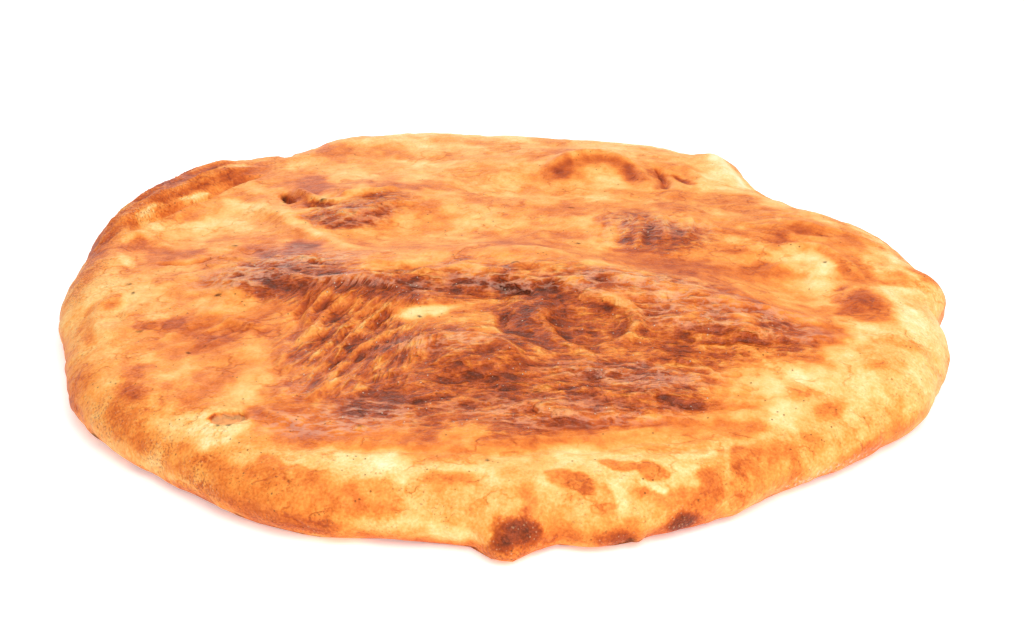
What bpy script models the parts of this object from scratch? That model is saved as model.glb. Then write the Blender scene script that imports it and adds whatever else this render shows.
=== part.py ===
# Flatbread: one hand-shaped round of dough, baked in one piece.
# It lies on a truly flat base at z = 0, with the middle of its box over the origin and +Z up.
# The dough starts as a UV sphere. Each ring of the sphere becomes a ring of the loaf: the upper half
# is drawn into the domed crust and its rounded edge, the lower half into the flat base.

import math

import bmesh
import bpy
from mathutils import Vector

NAME = "flatbread"

# Ring counts of the starting sphere
SEGMENTS = 100
RINGS = 38

# Height of the dough, metres
EDGE_HEIGHT = 0.0165            # top of the rim
DOME_RISE = 0.0070              # extra height of the middle over the rim
WAIST_SHARE = 0.42              # height of the widest line, as a share of the edge height

# Rounding of the edge, metres measured inwards from the outline
TOP_ROUNDING = 0.0170
BASE_ROUNDING = 0.0060
FLAT_RINGS = 0.66               # share of the rings spent on the crust inside the rounding

# Outline of the hand-pressed round: angle in degrees from +X, then radius in metres.
# The dents and corners are where the dough was pulled and folded.
OUTLINE = (
    (-9, 0.1320),
    (-1, 0.1370),
    (6, 0.1325),
    (13, 0.1320),
    (20, 0.1295),
    (29, 0.1205),
    (38, 0.1180),
    (45, 0.1225),
    (53, 0.1350),
    (64, 0.1355),
    (78, 0.1335),
    (92, 0.1340),
    (104, 0.1380),
    (116, 0.1370),
    (124, 0.1305),
    (129, 0.1360),
    (137, 0.1430),
    (148, 0.1430),
    (158, 0.1400),
    (168, 0.1350),
    (176, 0.1330),
    (186, 0.1315),
    (196, 0.1300),
    (214, 0.1365),
    (232, 0.1355),
    (247, 0.1380),
    (260, 0.1335),
    (280, 0.1350),
    (293, 0.1350),
    (305, 0.1310),
    (318, 0.1330),
    (331, 0.1365),
    (343, 0.1355),
)

# Swellings and hollows of the crust: x, y, half length, half width, turn in degrees, height, metres
SWELLINGS = (
    (-0.008, -0.060, 0.030, 0.020, 10, 0.0030),      # blister in front of the main ridge
    (0.028, -0.040, 0.022, 0.018, -20, 0.0030),      # blister beside it
    (-0.050, -0.045, 0.034, 0.013, 62, 0.0025),      # folds that run down to the left
    (-0.045, 0.050, 0.030, 0.017, -25, 0.0030),      # brown swelling behind on the left
    (0.048, 0.024, 0.022, 0.022, 0, 0.0025),         # brown swelling behind on the right
    (0.032, 0.088, 0.034, 0.012, 20, 0.0025),        # arched fold at the back
    (-0.050, 0.108, 0.030, 0.014, 20, 0.0020),       # swelling along the back edge
    (0.105, 0.015, 0.030, 0.018, -60, 0.0030),       # swelling along the right edge
    (0.112, -0.048, 0.030, 0.018, 65, 0.0020),       # puffed right edge
    (-0.092, 0.040, 0.036, 0.014, 48, -0.0040),      # hollow inside the folded lip
    (-0.020, 0.024, 0.045, 0.014, -6, -0.0020),      # smooth hollow behind the ridge
    (0.010, -0.100, 0.080, 0.012, 2, -0.0022),       # hollow just inside the front edge
    (0.085, -0.012, 0.022, 0.010, -50, -0.0025),     # pale hollow on the right
    (0.020, 0.062, 0.030, 0.014, 0, -0.0020),        # pale hollow at the back
)

# Main ridge that puffed up across the middle: points along its crest, x, y and height, metres
RIDGE = (
    (-0.092, -0.010, 0.0010),
    (-0.060, -0.012, 0.0050),
    (-0.025, -0.014, 0.0070),
    (0.010, -0.016, 0.0080),
    (0.045, -0.030, 0.0060),
    (0.075, -0.044, 0.0045),
    (0.100, -0.056, 0.0005),
)
RIDGE_WIDTH = 0.017

# Lip folded over along the edge at the back left
LIP_START = 122
LIP_END = 186
LIP_HEIGHT = 0.0042
LIP_INSET = 0.010
LIP_WIDTH = 0.010

# Beads of dough that ran out at the foot of the front edge and burnt:
# angle, half spread in degrees, reach, top, metres
BEADS = (
    (271.0, 2.5, 0.0095, 0.0095),
    (281.5, 2.4, 0.0030, 0.0060),
)

CRUST_COLOUR = (0.78, 0.38, 0.10, 1.0)
CRUST_ROUGHNESS = 0.42


def clear_scene():
    for item in list(bpy.data.objects):
        bpy.data.objects.remove(item, do_unlink=True)


def bell(distance):
    # Smooth bump: 1 at the middle, about 0.02 two half widths away.
    return math.exp(-distance * distance)


def outline_radius(angle):
    # Radius of the outline at an angle in degrees, on a smooth closed curve through OUTLINE.
    count = len(OUTLINE)
    start = OUTLINE[0][0]
    angle = start + (angle - start) % 360.0
    index = max(i for i in range(count) if OUTLINE[i][0] <= angle)
    points = []
    for step in (-1, 0, 1, 2):
        turns, place = divmod(index + step, count)
        points.append((OUTLINE[place][0] + 360.0 * turns, OUTLINE[place][1]))
    before, left, right, after = points
    span = right[0] - left[0]
    share = (angle - left[0]) / span
    left_slope = (right[1] - before[1]) / (right[0] - before[0]) * span
    right_slope = (after[1] - left[1]) / (after[0] - left[0]) * span
    square = share * share
    cube = square * share
    value = left[1] * (2 * cube - 3 * square + 1)
    value += left_slope * (cube - 2 * square + share)
    value += right[1] * (3 * square - 2 * cube)
    value += right_slope * (cube - square)
    return value


def swelling_height(x, y):
    # Sum of the oval swellings and hollows at one place.
    total = 0.0
    for middle_x, middle_y, length, width, turn, height in SWELLINGS:
        cosine = math.cos(math.radians(turn))
        sine = math.sin(math.radians(turn))
        along = (x - middle_x) * cosine + (y - middle_y) * sine
        across = (y - middle_y) * cosine - (x - middle_x) * sine
        total += height * bell(math.hypot(along / length, across / width))
    return total


def ridge_height(x, y):
    # Height of the main ridge, from the nearest point of its crest.
    here = Vector((x, y))
    best_gap = None
    best_height = 0.0
    for start, end in zip(RIDGE, RIDGE[1:]):
        first = Vector(start[:2])
        step = Vector(end[:2]) - first
        share = min(1.0, max(0.0, (here - first).dot(step) / step.length_squared))
        gap = (here - first - step * share).length
        if best_gap is None or gap < best_gap:
            best_gap = gap
            best_height = start[2] + (end[2] - start[2]) * share
    return best_height * bell(best_gap / RIDGE_WIDTH)


def lip_height(angle, inset):
    # Folded lip: fades in and out along the edge and stands just inside the outline.
    share = (angle - LIP_START) / (LIP_END - LIP_START)
    if share <= 0.0 or share >= 1.0:
        return 0.0
    fade = math.sin(math.pi * share) ** 0.6
    return LIP_HEIGHT * fade * bell((inset - LIP_INSET) / LIP_WIDTH)


def crust_height(x, y, angle, radius):
    # Height of the crust above the base, before its edge is rounded down.
    distance = math.hypot(x, y)
    share = distance / radius
    height = EDGE_HEIGHT + DOME_RISE * (1.0 - share * share)
    height += swelling_height(x, y)
    height += ridge_height(x, y)
    height += lip_height(angle, radius - distance)
    return height


def bead_reach(angle, height):
    # How far the burnt beads push the foot of the edge outwards.
    total = 0.0
    for middle, spread, reach, top in BEADS:
        if height < top:
            round_off = math.sqrt(1.0 - (height / top) ** 2)
            total += reach * round_off * bell((angle - middle) / spread)
    return total


def ring_place(share, radius, rounding):
    # Distance from the middle and height share of a ring: 1 on the crust, 0 at the widest line.
    if share <= FLAT_RINGS:
        return (radius - rounding) * share / FLAT_RINGS, 1.0
    turn = 0.5 * math.pi * (share - FLAT_RINGS) / (1.0 - FLAT_RINGS)
    return radius - rounding + rounding * math.sin(turn), math.cos(turn)


def dough_point(sphere_point):
    # Where one point of the starting sphere goes on the bread.
    x, y, z = sphere_point
    angle = math.degrees(math.atan2(y, x)) % 360.0
    direction = Vector((math.cos(math.radians(angle)), math.sin(math.radians(angle))))
    radius = outline_radius(angle)
    waist = EDGE_HEIGHT * WAIST_SHARE
    share = math.acos(min(1.0, abs(z))) / (0.5 * math.pi)
    if z >= 0.0:
        distance, level = ring_place(share, radius, TOP_ROUNDING)
        place = direction * distance
        height = waist + (crust_height(place.x, place.y, angle, radius) - waist) * level
    else:
        distance, level = ring_place(share, radius, BASE_ROUNDING)
        height = waist * (1.0 - level)
    if distance > radius - BASE_ROUNDING:
        distance += bead_reach(angle, height)
    return Vector((direction.x * distance, direction.y * distance, height))


def centre_on_origin(mesh_data):
    # Puts the middle of the box over the origin and the base at z = 0.
    low = Vector([min(vertex.co[axis] for vertex in mesh_data.verts) for axis in range(3)])
    high = Vector([max(vertex.co[axis] for vertex in mesh_data.verts) for axis in range(3)])
    shift = Vector((-0.5 * (low.x + high.x), -0.5 * (low.y + high.y), -low.z))
    bmesh.ops.translate(mesh_data, vec=shift, verts=mesh_data.verts)


def make_dough():
    mesh_data = bmesh.new()
    bmesh.ops.create_uvsphere(mesh_data, u_segments=SEGMENTS, v_segments=RINGS, radius=1.0)
    for vertex in mesh_data.verts:
        vertex.co = dough_point(vertex.co)
    centre_on_origin(mesh_data)
    bmesh.ops.recalc_face_normals(mesh_data, faces=mesh_data.faces)
    mesh = bpy.data.meshes.new(NAME)
    mesh_data.to_mesh(mesh)
    mesh_data.free()
    mesh.shade_smooth()
    return bpy.data.objects.new(NAME, mesh)


def make_crust_material():
    material = bpy.data.materials.new("baked_crust")
    material.use_nodes = True
    shader = material.node_tree.nodes["Principled BSDF"]
    shader.inputs["Base Color"].default_value = CRUST_COLOUR
    shader.inputs["Roughness"].default_value = CRUST_ROUGHNESS
    shader.inputs["Metallic"].default_value = 0.0
    material.diffuse_color = CRUST_COLOUR
    return material


def build():
    clear_scene()
    collection = bpy.data.collections.new(NAME)
    bpy.context.scene.collection.children.link(collection)
    bread = make_dough()
    bread.data.materials.append(make_crust_material())
    collection.objects.link(bread)


build()
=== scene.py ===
import math

import bpy
import numpy as np
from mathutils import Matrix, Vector


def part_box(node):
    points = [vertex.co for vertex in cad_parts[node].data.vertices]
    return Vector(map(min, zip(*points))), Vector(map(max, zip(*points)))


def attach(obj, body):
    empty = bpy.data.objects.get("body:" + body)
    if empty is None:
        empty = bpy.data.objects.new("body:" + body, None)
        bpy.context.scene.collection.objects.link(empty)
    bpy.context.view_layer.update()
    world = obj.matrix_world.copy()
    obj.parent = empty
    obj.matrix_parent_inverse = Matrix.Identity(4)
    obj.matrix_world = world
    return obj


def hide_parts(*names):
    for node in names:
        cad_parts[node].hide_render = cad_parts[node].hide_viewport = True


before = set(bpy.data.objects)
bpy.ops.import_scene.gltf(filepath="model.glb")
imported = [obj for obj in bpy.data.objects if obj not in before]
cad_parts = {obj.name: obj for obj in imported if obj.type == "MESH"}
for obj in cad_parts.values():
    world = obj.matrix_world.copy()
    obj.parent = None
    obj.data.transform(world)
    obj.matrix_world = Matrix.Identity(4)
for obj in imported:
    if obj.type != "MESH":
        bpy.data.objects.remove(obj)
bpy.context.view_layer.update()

doughLow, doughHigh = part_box("flatbread")
halfWidth = 0.5 * (doughHigh.x - doughLow.x)
halfDepth = 0.5 * (doughHigh.y - doughLow.y)
breadHeight = doughHigh.z - doughLow.z
millimetre = 0.001

# Places on the crust are shares of the half box: across (-1 left, 1 right), back (-1 front, 1 back).
# Places on the side wall are an angle round the bread, from the right by way of the back, and a
# share of the height.

# Noise and soft shapes, all worked out on whole arrays of points.


def latticeNoise(points, size, seed):
    table = np.random.default_rng(seed).uniform(-1.0, 1.0, 4096)
    scaled = points / size
    cell = np.floor(scaled).astype(np.int64)
    part = scaled - cell
    smooth = part * part * part * (part * (part * 6.0 - 15.0) + 10.0)
    total = np.zeros(len(points))
    for corner in np.ndindex(2, 2, 2):
        place = cell + np.array(corner)
        key = (place[:, 0] * 73856093) ^ (place[:, 1] * 19349663) ^ (place[:, 2] * 83492791)
        weight = np.prod(np.where(np.array(corner) == 1, smooth, 1.0 - smooth), axis=1)
        total += table[key & 4095] * weight
    return total


def layeredNoise(points, size, layers, seed):
    total = np.zeros(len(points))
    strength = 1.0
    for layer in range(layers):
        total += strength * latticeNoise(points, size / 2.0 ** layer, seed + layer)
        strength *= 0.5
    return total


def ease(low, high, value):                # 0 at low, 1 at high
    share = np.clip((value - low) / (high - low), 0.0, 1.0)
    return share * share * (3.0 - 2.0 * share)


def within(distance, full, none):          # 1 closer than full, 0 past none
    return 1.0 - ease(full, none, distance)


def turned(across, back, degrees):         # places measured along and aside of a turned direction
    cosine = math.cos(math.radians(degrees))
    sine = math.sin(math.radians(degrees))
    return across * cosine + back * sine, back * cosine - across * sine


def ovalDistance(across, back, oval):      # 1 on the oval's edge
    middleAcross, middleBack, long, wide, turn = oval
    along, aside = turned(across - middleAcross, back - middleBack, turn)
    return np.hypot(along / long, aside / wide)


def strokeDistance(across, back, run):     # distance to a run of places, and the share along it
    nearest = np.full(len(across), 9.0)
    alongShare = np.zeros(len(across))
    lengths = [math.dist(a, b) for a, b in zip(run, run[1:])]
    done = 0.0
    for (startX, startY), (endX, endY), length in zip(run, run[1:], lengths):
        stepX = endX - startX
        stepY = endY - startY
        share = ((across - startX) * stepX + (back - startY) * stepY) / (length * length)
        share = np.clip(share, 0.0, 1.0)
        gap = np.hypot(across - startX - share * stepX, back - startY - share * stepY)
        closer = gap < nearest
        nearest = np.where(closer, gap, nearest)
        alongShare = np.where(closer, (done + share * length) / sum(lengths), alongShare)
        done += length
    return nearest, alongShare


def smoothRun(places, steps=6):            # a smooth curve through a few places
    run = []
    last = len(places) - 1
    for index in range(last):
        before = places[max(0, index - 1)]
        left = places[index]
        right = places[index + 1]
        after = places[min(last, index + 2)]
        for step in range(steps):
            t = step / steps
            run.append(tuple(
                0.5 * (2 * b + (c - a) * t + (2 * a - 5 * b + 4 * c - d) * t * t
                       + (3 * b - a - 3 * c + d) * t ** 3)
                for a, b, c, d in zip(before, left, right, after)
            ))
    run.append(tuple(places[-1]))
    return run


def anglesRound(points):
    return np.degrees(np.arctan2(points[:, 1], points[:, 0])) % 360.0


def turnFrom(angle, middle):               # degrees from a middle angle, the short way round
    return (angle - middle + 180.0) % 360.0 - 180.0


def wallDistance(angle, height, patch):    # 1 on the edge of a patch of the side wall
    middle, middleHeight, halfAngle, halfHeight = patch[:4]
    return np.hypot(turnFrom(angle, middle) / halfAngle, (height - middleHeight) / halfHeight)


# The dough: a fine, even skin over the plain solid.

dough = {
    "skinStep": 0.00095,                   # metres between points of the crust
    "evenPasses": 14,
    "baseHeight": 0.0004,                  # points lower than this lie on the table
    "undersideShare": 0.45,                # faces kept when the flat underside is thinned
}


def settle(piece):                         # makes a piece's modifiers its mesh
    graph = bpy.context.evaluated_depsgraph_get()
    mesh = bpy.data.meshes.new_from_object(piece.evaluated_get(graph))
    piece.modifiers.clear()
    piece.data = mesh


def pointsOf(mesh):
    flat = np.empty(len(mesh.vertices) * 3, np.float32)
    mesh.vertices.foreach_get("co", flat)
    return flat.reshape(-1, 3).astype(float)


def normalsOf(mesh):
    flat = np.empty(len(mesh.vertices) * 3, np.float32)
    mesh.vertex_normals.foreach_get("vector", flat)
    return flat.reshape(-1, 3).astype(float)


def edgesOf(mesh):
    flat = np.empty(len(mesh.edges) * 2, np.int32)
    mesh.edges.foreach_get("vertices", flat)
    return flat.reshape(-1, 2)


def setPoints(mesh, points):
    mesh.vertices.foreach_set("co", points.astype(np.float32).ravel())
    mesh.update()


def store(mesh, name, values):             # one value per point, which the material reads by name
    layer = mesh.attributes.new(name, "FLOAT", "POINT")
    layer.data.foreach_set("value", values.astype(np.float32))


def evened(values, edges, passes, strength=0.5):   # each value drawn towards its neighbours
    ends = np.concatenate([edges[:, 0], edges[:, 1]])
    others = np.concatenate([edges[:, 1], edges[:, 0]])
    count = np.maximum(np.bincount(ends, minlength=len(values)), 1)
    columns = values.reshape(len(values), -1).copy()
    for step in range(passes):
        for column in range(columns.shape[1]):
            total = np.bincount(ends, columns[others, column], minlength=len(values))
            columns[:, column] += strength * (total / count - columns[:, column])
    return columns.reshape(values.shape)


def makeSkin():
    piece = bpy.data.objects.new("crust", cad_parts["flatbread"].data.copy())
    bpy.context.scene.collection.objects.link(piece)
    weld = piece.modifiers.new("weld", "WELD")
    weld.merge_threshold = 0.00001
    rounding = piece.modifiers.new("rounding", "SUBSURF")
    rounding.levels = rounding.render_levels = 2
    skin = piece.modifiers.new("skin", "REMESH")
    skin.mode = "VOXEL"
    skin.voxel_size = dough["skinStep"]
    settle(piece)
    points = pointsOf(piece.data)
    flat = points[:, 2] < dough["baseHeight"]
    points = evened(points, edgesOf(piece.data), dough["evenPasses"])
    points[flat, 2] = 0.0
    points[:, 2] = np.maximum(points[:, 2], 0.0)
    setPoints(piece.data, points)
    group = piece.vertex_groups.new(name="underside")
    group.add([int(i) for i in np.flatnonzero(flat)], 1.0, "REPLACE")
    thin = piece.modifiers.new("thin", "DECIMATE")
    thin.ratio = dough["undersideShare"]
    thin.vertex_group = "underside"
    settle(piece)
    piece.vertex_groups.clear()
    piece.data.materials.clear()
    piece.data.shade_smooth()
    return piece


# The shape of the crust.

# Folds: breadth and height, in the steps that crust names, then the run of places.
# A height below zero is a crease.
folds = [
    # crest of the big puffed ridge
    (4.2, 1.5, [(-0.6, -0.12), (-0.5, -0.13), (-0.4, -0.17), (-0.28, -0.19), (-0.17, -0.17),
                (-0.1, -0.155), (-0.02, -0.17), (0.07, -0.205), (0.16, -0.235), (0.28, -0.285)]),
    (4.0, 0.8, [(-0.02, -0.15), (0.1, -0.17), (0.22, -0.21), (0.34, -0.24), (0.48, -0.26)]),
    (2.2, -0.8, [(-0.05, -0.19), (0.03, -0.23), (0.07, -0.28)]),
    # fan of folds that runs down to the left
    (2.0, 0.9, [(-0.21, -0.22), (-0.27, -0.3), (-0.31, -0.38), (-0.34, -0.46), (-0.37, -0.55)]),
    (1.8, 0.8, [(-0.25, -0.22), (-0.31, -0.3), (-0.35, -0.4), (-0.39, -0.5)]),
    (1.8, 0.8, [(-0.3, -0.21), (-0.36, -0.28), (-0.4, -0.36), (-0.43, -0.44)]),
    (2.0, 1.0, [(-0.36, -0.2), (-0.405, -0.27), (-0.42, -0.34)]),
    (1.8, 0.7, [(-0.15, -0.3), (-0.23, -0.37), (-0.29, -0.44), (-0.33, -0.52), (-0.36, -0.6)]),
    (1.6, 0.6, [(-0.12, -0.36), (-0.19, -0.42), (-0.25, -0.49), (-0.28, -0.56)]),
    (2.2, -0.9, [(-0.42, -0.2), (-0.44, -0.28), (-0.43, -0.36)]),
    (2.4, 0.8, [(-0.38, -0.63), (-0.35, -0.58), (-0.31, -0.55)]),
    # mound in front of the ridge
    (6.0, 1.7, [(-0.22, -0.48), (-0.14, -0.445), (-0.06, -0.44), (0.01, -0.47), (0.05, -0.53)]),
    (3.0, 0.8, [(-0.12, -0.4), (-0.05, -0.38), (0.01, -0.4), (0.06, -0.45), (0.11, -0.5)]),
    (2.4, -0.9, [(0.0, -0.3), (-0.01, -0.36), (0.02, -0.41)]),
    # folds to the right of the middle
    (3.0, 1.0, [(0.07, -0.28), (0.09, -0.36), (0.13, -0.44), (0.2, -0.49)]),
    (3.6, 1.3, [(0.12, -0.27), (0.2, -0.28), (0.26, -0.33), (0.25, -0.4), (0.21, -0.45)]),
    (3.0, 1.0, [(0.28, -0.37), (0.36, -0.355), (0.44, -0.37), (0.52, -0.38), (0.6, -0.37)]),
    (2.6, 0.8, [(0.3, -0.3), (0.4, -0.31), (0.5, -0.3), (0.6, -0.29)]),
    (2.6, 0.8, [(0.26, -0.45), (0.34, -0.46), (0.41, -0.5), (0.44, -0.56)]),
    (3.0, 0.8, [(0.07, -0.54), (0.16, -0.51), (0.27, -0.52), (0.38, -0.5)]),
    (2.4, 0.7, [(0.02, -0.6), (0.12, -0.59), (0.22, -0.61), (0.34, -0.58)]),
    (2.4, 0.7, [(-0.05, -0.66), (0.06, -0.65), (0.16, -0.68), (0.26, -0.66), (0.36, -0.67)]),
    # crease and lip where the glazed middle meets the pale front rim
    (2.6, -0.7, [(-0.45, -0.74), (-0.34, -0.775), (-0.2, -0.785), (0.0, -0.79), (0.16, -0.775),
                 (0.32, -0.74), (0.44, -0.69)]),
    (2.2, 0.5, [(-0.05, -0.75), (0.1, -0.745), (0.24, -0.72), (0.36, -0.68)]),
    (2.4, -0.5, [(0.12, -0.81), (0.28, -0.79), (0.42, -0.75), (0.52, -0.69)]),
    # arched fold and creases at the back right
    (4.0, 1.3, [(0.08, 0.56), (0.15, 0.61), (0.24, 0.65), (0.31, 0.61), (0.345, 0.53), (0.35, 0.46)]),
    (2.2, -1.6, [(0.37, 0.62), (0.395, 0.55), (0.39, 0.47)]),
    (2.2, -0.8, [(0.42, 0.59), (0.46, 0.53)]),
    (2.6, 0.8, [(0.44, 0.66), (0.48, 0.58), (0.5, 0.5)]),
    (5.0, 1.0, [(0.5, 0.84), (0.54, 0.7), (0.56, 0.55)]),
    (3.2, -0.9, [(0.6, 0.66), (0.62, 0.54), (0.66, 0.46)]),
    # short ribs of the back brown patch
    (2.0, 0.8, [(0.305, 0.24), (0.31, 0.14), (0.305, 0.05)]),
    (2.0, 0.8, [(0.362, 0.25), (0.365, 0.14), (0.36, 0.05)]),
    (2.0, 0.7, [(0.415, 0.24), (0.42, 0.14), (0.41, 0.06)]),
    (2.4, 0.7, [(0.24, 0.2), (0.33, 0.18), (0.44, 0.19), (0.54, 0.17)]),
    # torn blister and wrinkles at the back left
    (1.7, -2.0, [(-0.555, 0.46), (-0.535, 0.41), (-0.515, 0.37)]),
    (3.0, 1.3, [(-0.52, 0.47), (-0.485, 0.4), (-0.44, 0.34), (-0.38, 0.33)]),
    (2.4, -0.9, [(-0.49, 0.36), (-0.44, 0.325), (-0.39, 0.32)]),
    (3.0, 1.0, [(-0.42, 0.36), (-0.33, 0.37), (-0.25, 0.4)]),
    (2.8, 0.9, [(-0.43, 0.25), (-0.35, 0.26), (-0.27, 0.3), (-0.2, 0.33)]),
    (6.5, 1.2, [(-0.64, 0.5), (-0.56, 0.33), (-0.46, 0.18), (-0.37, 0.05), (-0.31, -0.05)]),
    # folded lip along the left edge
    (3.0, -1.7, [(-0.59, 0.61), (-0.68, 0.535), (-0.77, 0.43), (-0.845, 0.32), (-0.895, 0.2)]),
    (5.0, 1.4, [(-0.61, 0.67), (-0.72, 0.58), (-0.82, 0.46), (-0.885, 0.33), (-0.925, 0.18)]),
    (2.6, 0.7, [(-0.66, 0.74), (-0.78, 0.61), (-0.87, 0.46), (-0.93, 0.3), (-0.96, 0.14)]),
    (2.0, 0.5, [(-0.62, 0.77), (-0.74, 0.69), (-0.84, 0.56)]),
    (3.2, -2.2, [(-0.6, 0.9), (-0.585, 0.8), (-0.56, 0.7)]),
    # left side
    (3.6, 0.8, [(-0.82, -0.08), (-0.865, -0.16), (-0.86, -0.25), (-0.8, -0.33)]),
    (2.6, -0.7, [(-0.8, -0.13), (-0.825, -0.19), (-0.815, -0.26)]),
    (2.0, -0.9, [(-0.79, 0.035), (-0.72, 0.015), (-0.65, 0.04)]),
    (3.0, 0.7, [(-0.91, 0.19), (-0.85, 0.22), (-0.79, 0.17), (-0.74, 0.1)]),
    (2.6, 0.7, [(-0.6, -0.26), (-0.55, -0.3), (-0.5, -0.33)]),
    (2.4, 0.6, [(-0.48, -0.64), (-0.43, -0.68), (-0.37, -0.7)]),
    # right side
    (3.2, 0.7, [(0.57, -0.03), (0.63, 0.01), (0.68, -0.03), (0.69, -0.11)]),
    (3.0, 0.8, [(0.6, 0.11), (0.7, 0.08), (0.77, 0.0), (0.8, -0.08)]),
    (2.8, -0.8, [(0.7, 0.0), (0.73, -0.06), (0.74, -0.12)]),
    (3.0, 0.7, [(0.62, 0.24), (0.7, 0.2), (0.8, 0.17), (0.88, 0.12)]),
    (2.6, -1.4, [(0.93, -0.12), (0.965, -0.1), (0.99, -0.09)]),
]

# Blisters and dents: oval on the crust, then height in millimetres.
blisters = [
    ((0.02, -0.15, 0.03, 0.016, 0), 0.9),
    ((-0.215, -0.12, 0.026, 0.022, 20), 0.8),
    ((-0.275, -0.715, 0.016, 0.012, 0), 1.3),
    ((-0.39, -0.375, 0.016, 0.012, 30), 0.9),
    ((-0.02, -0.17, 0.022, 0.014, 0), 0.8),
    ((-0.43, -0.605, 0.036, 0.045, 0), 0.8),
    ((-0.17, -0.26, 0.06, 0.035, 10), 1.0),
    ((-0.75, -0.26, 0.03, 0.025, 0), 0.6),
    ((0.32, -0.58, 0.04, 0.026, 10), 0.8),
    ((0.12, -0.67, 0.03, 0.02, 0), 0.7),
    ((0.2, -0.56, 0.03, 0.02, 20), 0.7),
    ((-0.08, -0.73, 0.06, 0.02, 5), 0.6),
    ((0.78, -0.15, 0.06, 0.07, 0), 1.2),
    ((0.66, 0.2, 0.06, 0.05, 0), 0.9),
    ((0.95, 0.0, 0.05, 0.06, 0), 2.0),
    ((-0.87, 0.06, 0.02, 0.04, 15), 0.6),
    ((-0.5, 0.02, 0.04, 0.07, 10), 0.9),
    ((-0.36, 0.26, 0.06, 0.04, 20), 0.9),
    ((0.02, 0.36, 0.07, 0.05, 0), 0.8),
    ((-0.15, 0.62, 0.08, 0.05, 10), 0.7),
    ((0.2, -0.86, 0.02, 0.018, 0), -0.4),
    ((-0.47, 0.82, 0.13, 0.09, 24), 1.7),
    ((0.55, 0.78, 0.04, 0.06, 0), 0.8),
]

glazedOvals = [
    (-0.08, -0.46, 0.42, 0.3, 6), (0.32, -0.46, 0.36, 0.22, 6), (-0.42, -0.12, 0.28, 0.12, -14),
    (-0.36, 0.28, 0.18, 0.12, 20), (0.34, 0.15, 0.16, 0.13, 0), (0.1, -0.2, 0.4, 0.09, -6),
]

# Mounds with steeper sides: oval, then height in millimetres.
mounds = [
    ((-0.08, -0.48, 0.17, 0.08, -6), 1.9),
    ((-0.05, -0.5, 0.09, 0.055, 0), 1.0),
    ((0.2, -0.62, 0.18, 0.06, 4), 1.3),
    ((0.34, -0.56, 0.09, 0.055, 10), 1.2),
    ((0.17, -0.37, 0.09, 0.07, 0), -1.6),
    ((0.05, -0.3, 0.05, 0.08, 0), 1.2),
    ((0.42, -0.36, 0.16, 0.05, 0), 1.2),
    ((-0.3, -0.22, 0.2, 0.06, -10), 1.0),
    ((0.3, -0.25, 0.2, 0.045, -8), 1.0),
    ((-0.52, -0.14, 0.12, 0.05, -10), 1.2),
    ((-0.36, 0.27, 0.12, 0.07, 10), 1.3),
    ((0.22, 0.62, 0.13, 0.07, -6), 1.0),
    ((0.34, 0.15, 0.1, 0.08, 0), 0.9),
    ((0.78, -0.15, 0.07, 0.08, 0), 1.0),
]

# Fields of small wrinkles: oval, direction in degrees, spacing and height in millimetres.
wrinkleFields = [
    ((-0.32, -0.38, 0.17, 0.22, 20), 62, 2.4, 0.5),
    ((0.24, -0.58, 0.3, 0.12, 4), 12, 2.6, 0.65),
    ((-0.1, -0.56, 0.2, 0.12, 0), 20, 2.4, 0.4),
    ((0.0, -0.19, 0.45, 0.07, -4), -8, 2.6, 0.6),
    ((0.45, -0.33, 0.26, 0.1, -6), 4, 3.0, 0.7),
    ((-0.52, -0.1, 0.18, 0.08, 8), -20, 2.8, 0.6),
    ((-0.38, 0.29, 0.17, 0.1, 25), 25, 3.0, 0.6),
    ((0.34, 0.15, 0.14, 0.12, 0), 80, 3.2, 0.6),
    ((-0.85, 0.42, 0.12, 0.34, -32), 52, 3.0, 0.5),
    ((-0.6, -0.3, 0.1, 0.1, 0), 40, 3.0, 0.45),
    ((-0.6, 0.05, 0.12, 0.1, 0), -30, 3.0, 0.45),
    ((0.66, 0.22, 0.12, 0.12, 0), -30, 3.0, 0.4),
]

# Angle round the bread, half angle, millimetres outward.
edgeNudges = [
    (52, 3.0, 1.8), (46.5, 2.8, 2.6), (60, 3.0, -1.8), (57, 2.5, -1.0), (42.5, 2.5, 1.8),
    (39.0, 3.2, 1.6), (22.5, 3.0, -1.0), (15, 6.0, -0.9), (3, 3.5, -2.0), (355.5, 2.5, -1.1),
    (348.5, 2.5, 0.9), (135, 4.0, -2.2), (182, 9.0, 1.4), (188, 4.0, 0.8), (196, 6.0, 0.8),
    (206, 4.0, 0.8), (168, 4.0, -0.8), (150, 6.0, -0.8), (128, 4.0, -0.9), (224, 11.0, -1.6),
    (292, 7.0, -1.1), (329, 5.0, 1.6), (266.6, 1.3, -1.7), (275.8, 1.7, -1.7), (270.6, 1.7, 1.7),
    (284.6, 0.8, 1.1),
]

bubble = {                                 # the burst bubble near the front left
    "oval": (-0.537, -0.672, 0.037, 0.020, -3),
    "depth": 0.0016,
    "lip": 0.0004,
}

crust = {                                  # pairs are size and height, in metres
    "foldBreadth": 0.00042,                # metres for one step of a fold's breadth
    "foldHeight": 0.0013,
    "wrinkleHeight": 0.0012,
    "waver": (0.012, 0.009),               # how far folds wander: size in metres, shift in shares
    "driedSkin": (0.0034, 0.00015),        # crumpled skin of the glazed middle
    "crumple": (0.0060, 0.00012),
    "lump": (0.030, 0.0008),
    "smallLump": (0.011, 0.0004),
    "grain": (0.0030, 0.00012),
    "wall": (0.0070, 0.0005),              # dents of the side wall
    "undersideDent": (0.016, 0.0005),
    "proudPasses": 24,                     # how far around a point its neighbours are looked at
}


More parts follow.
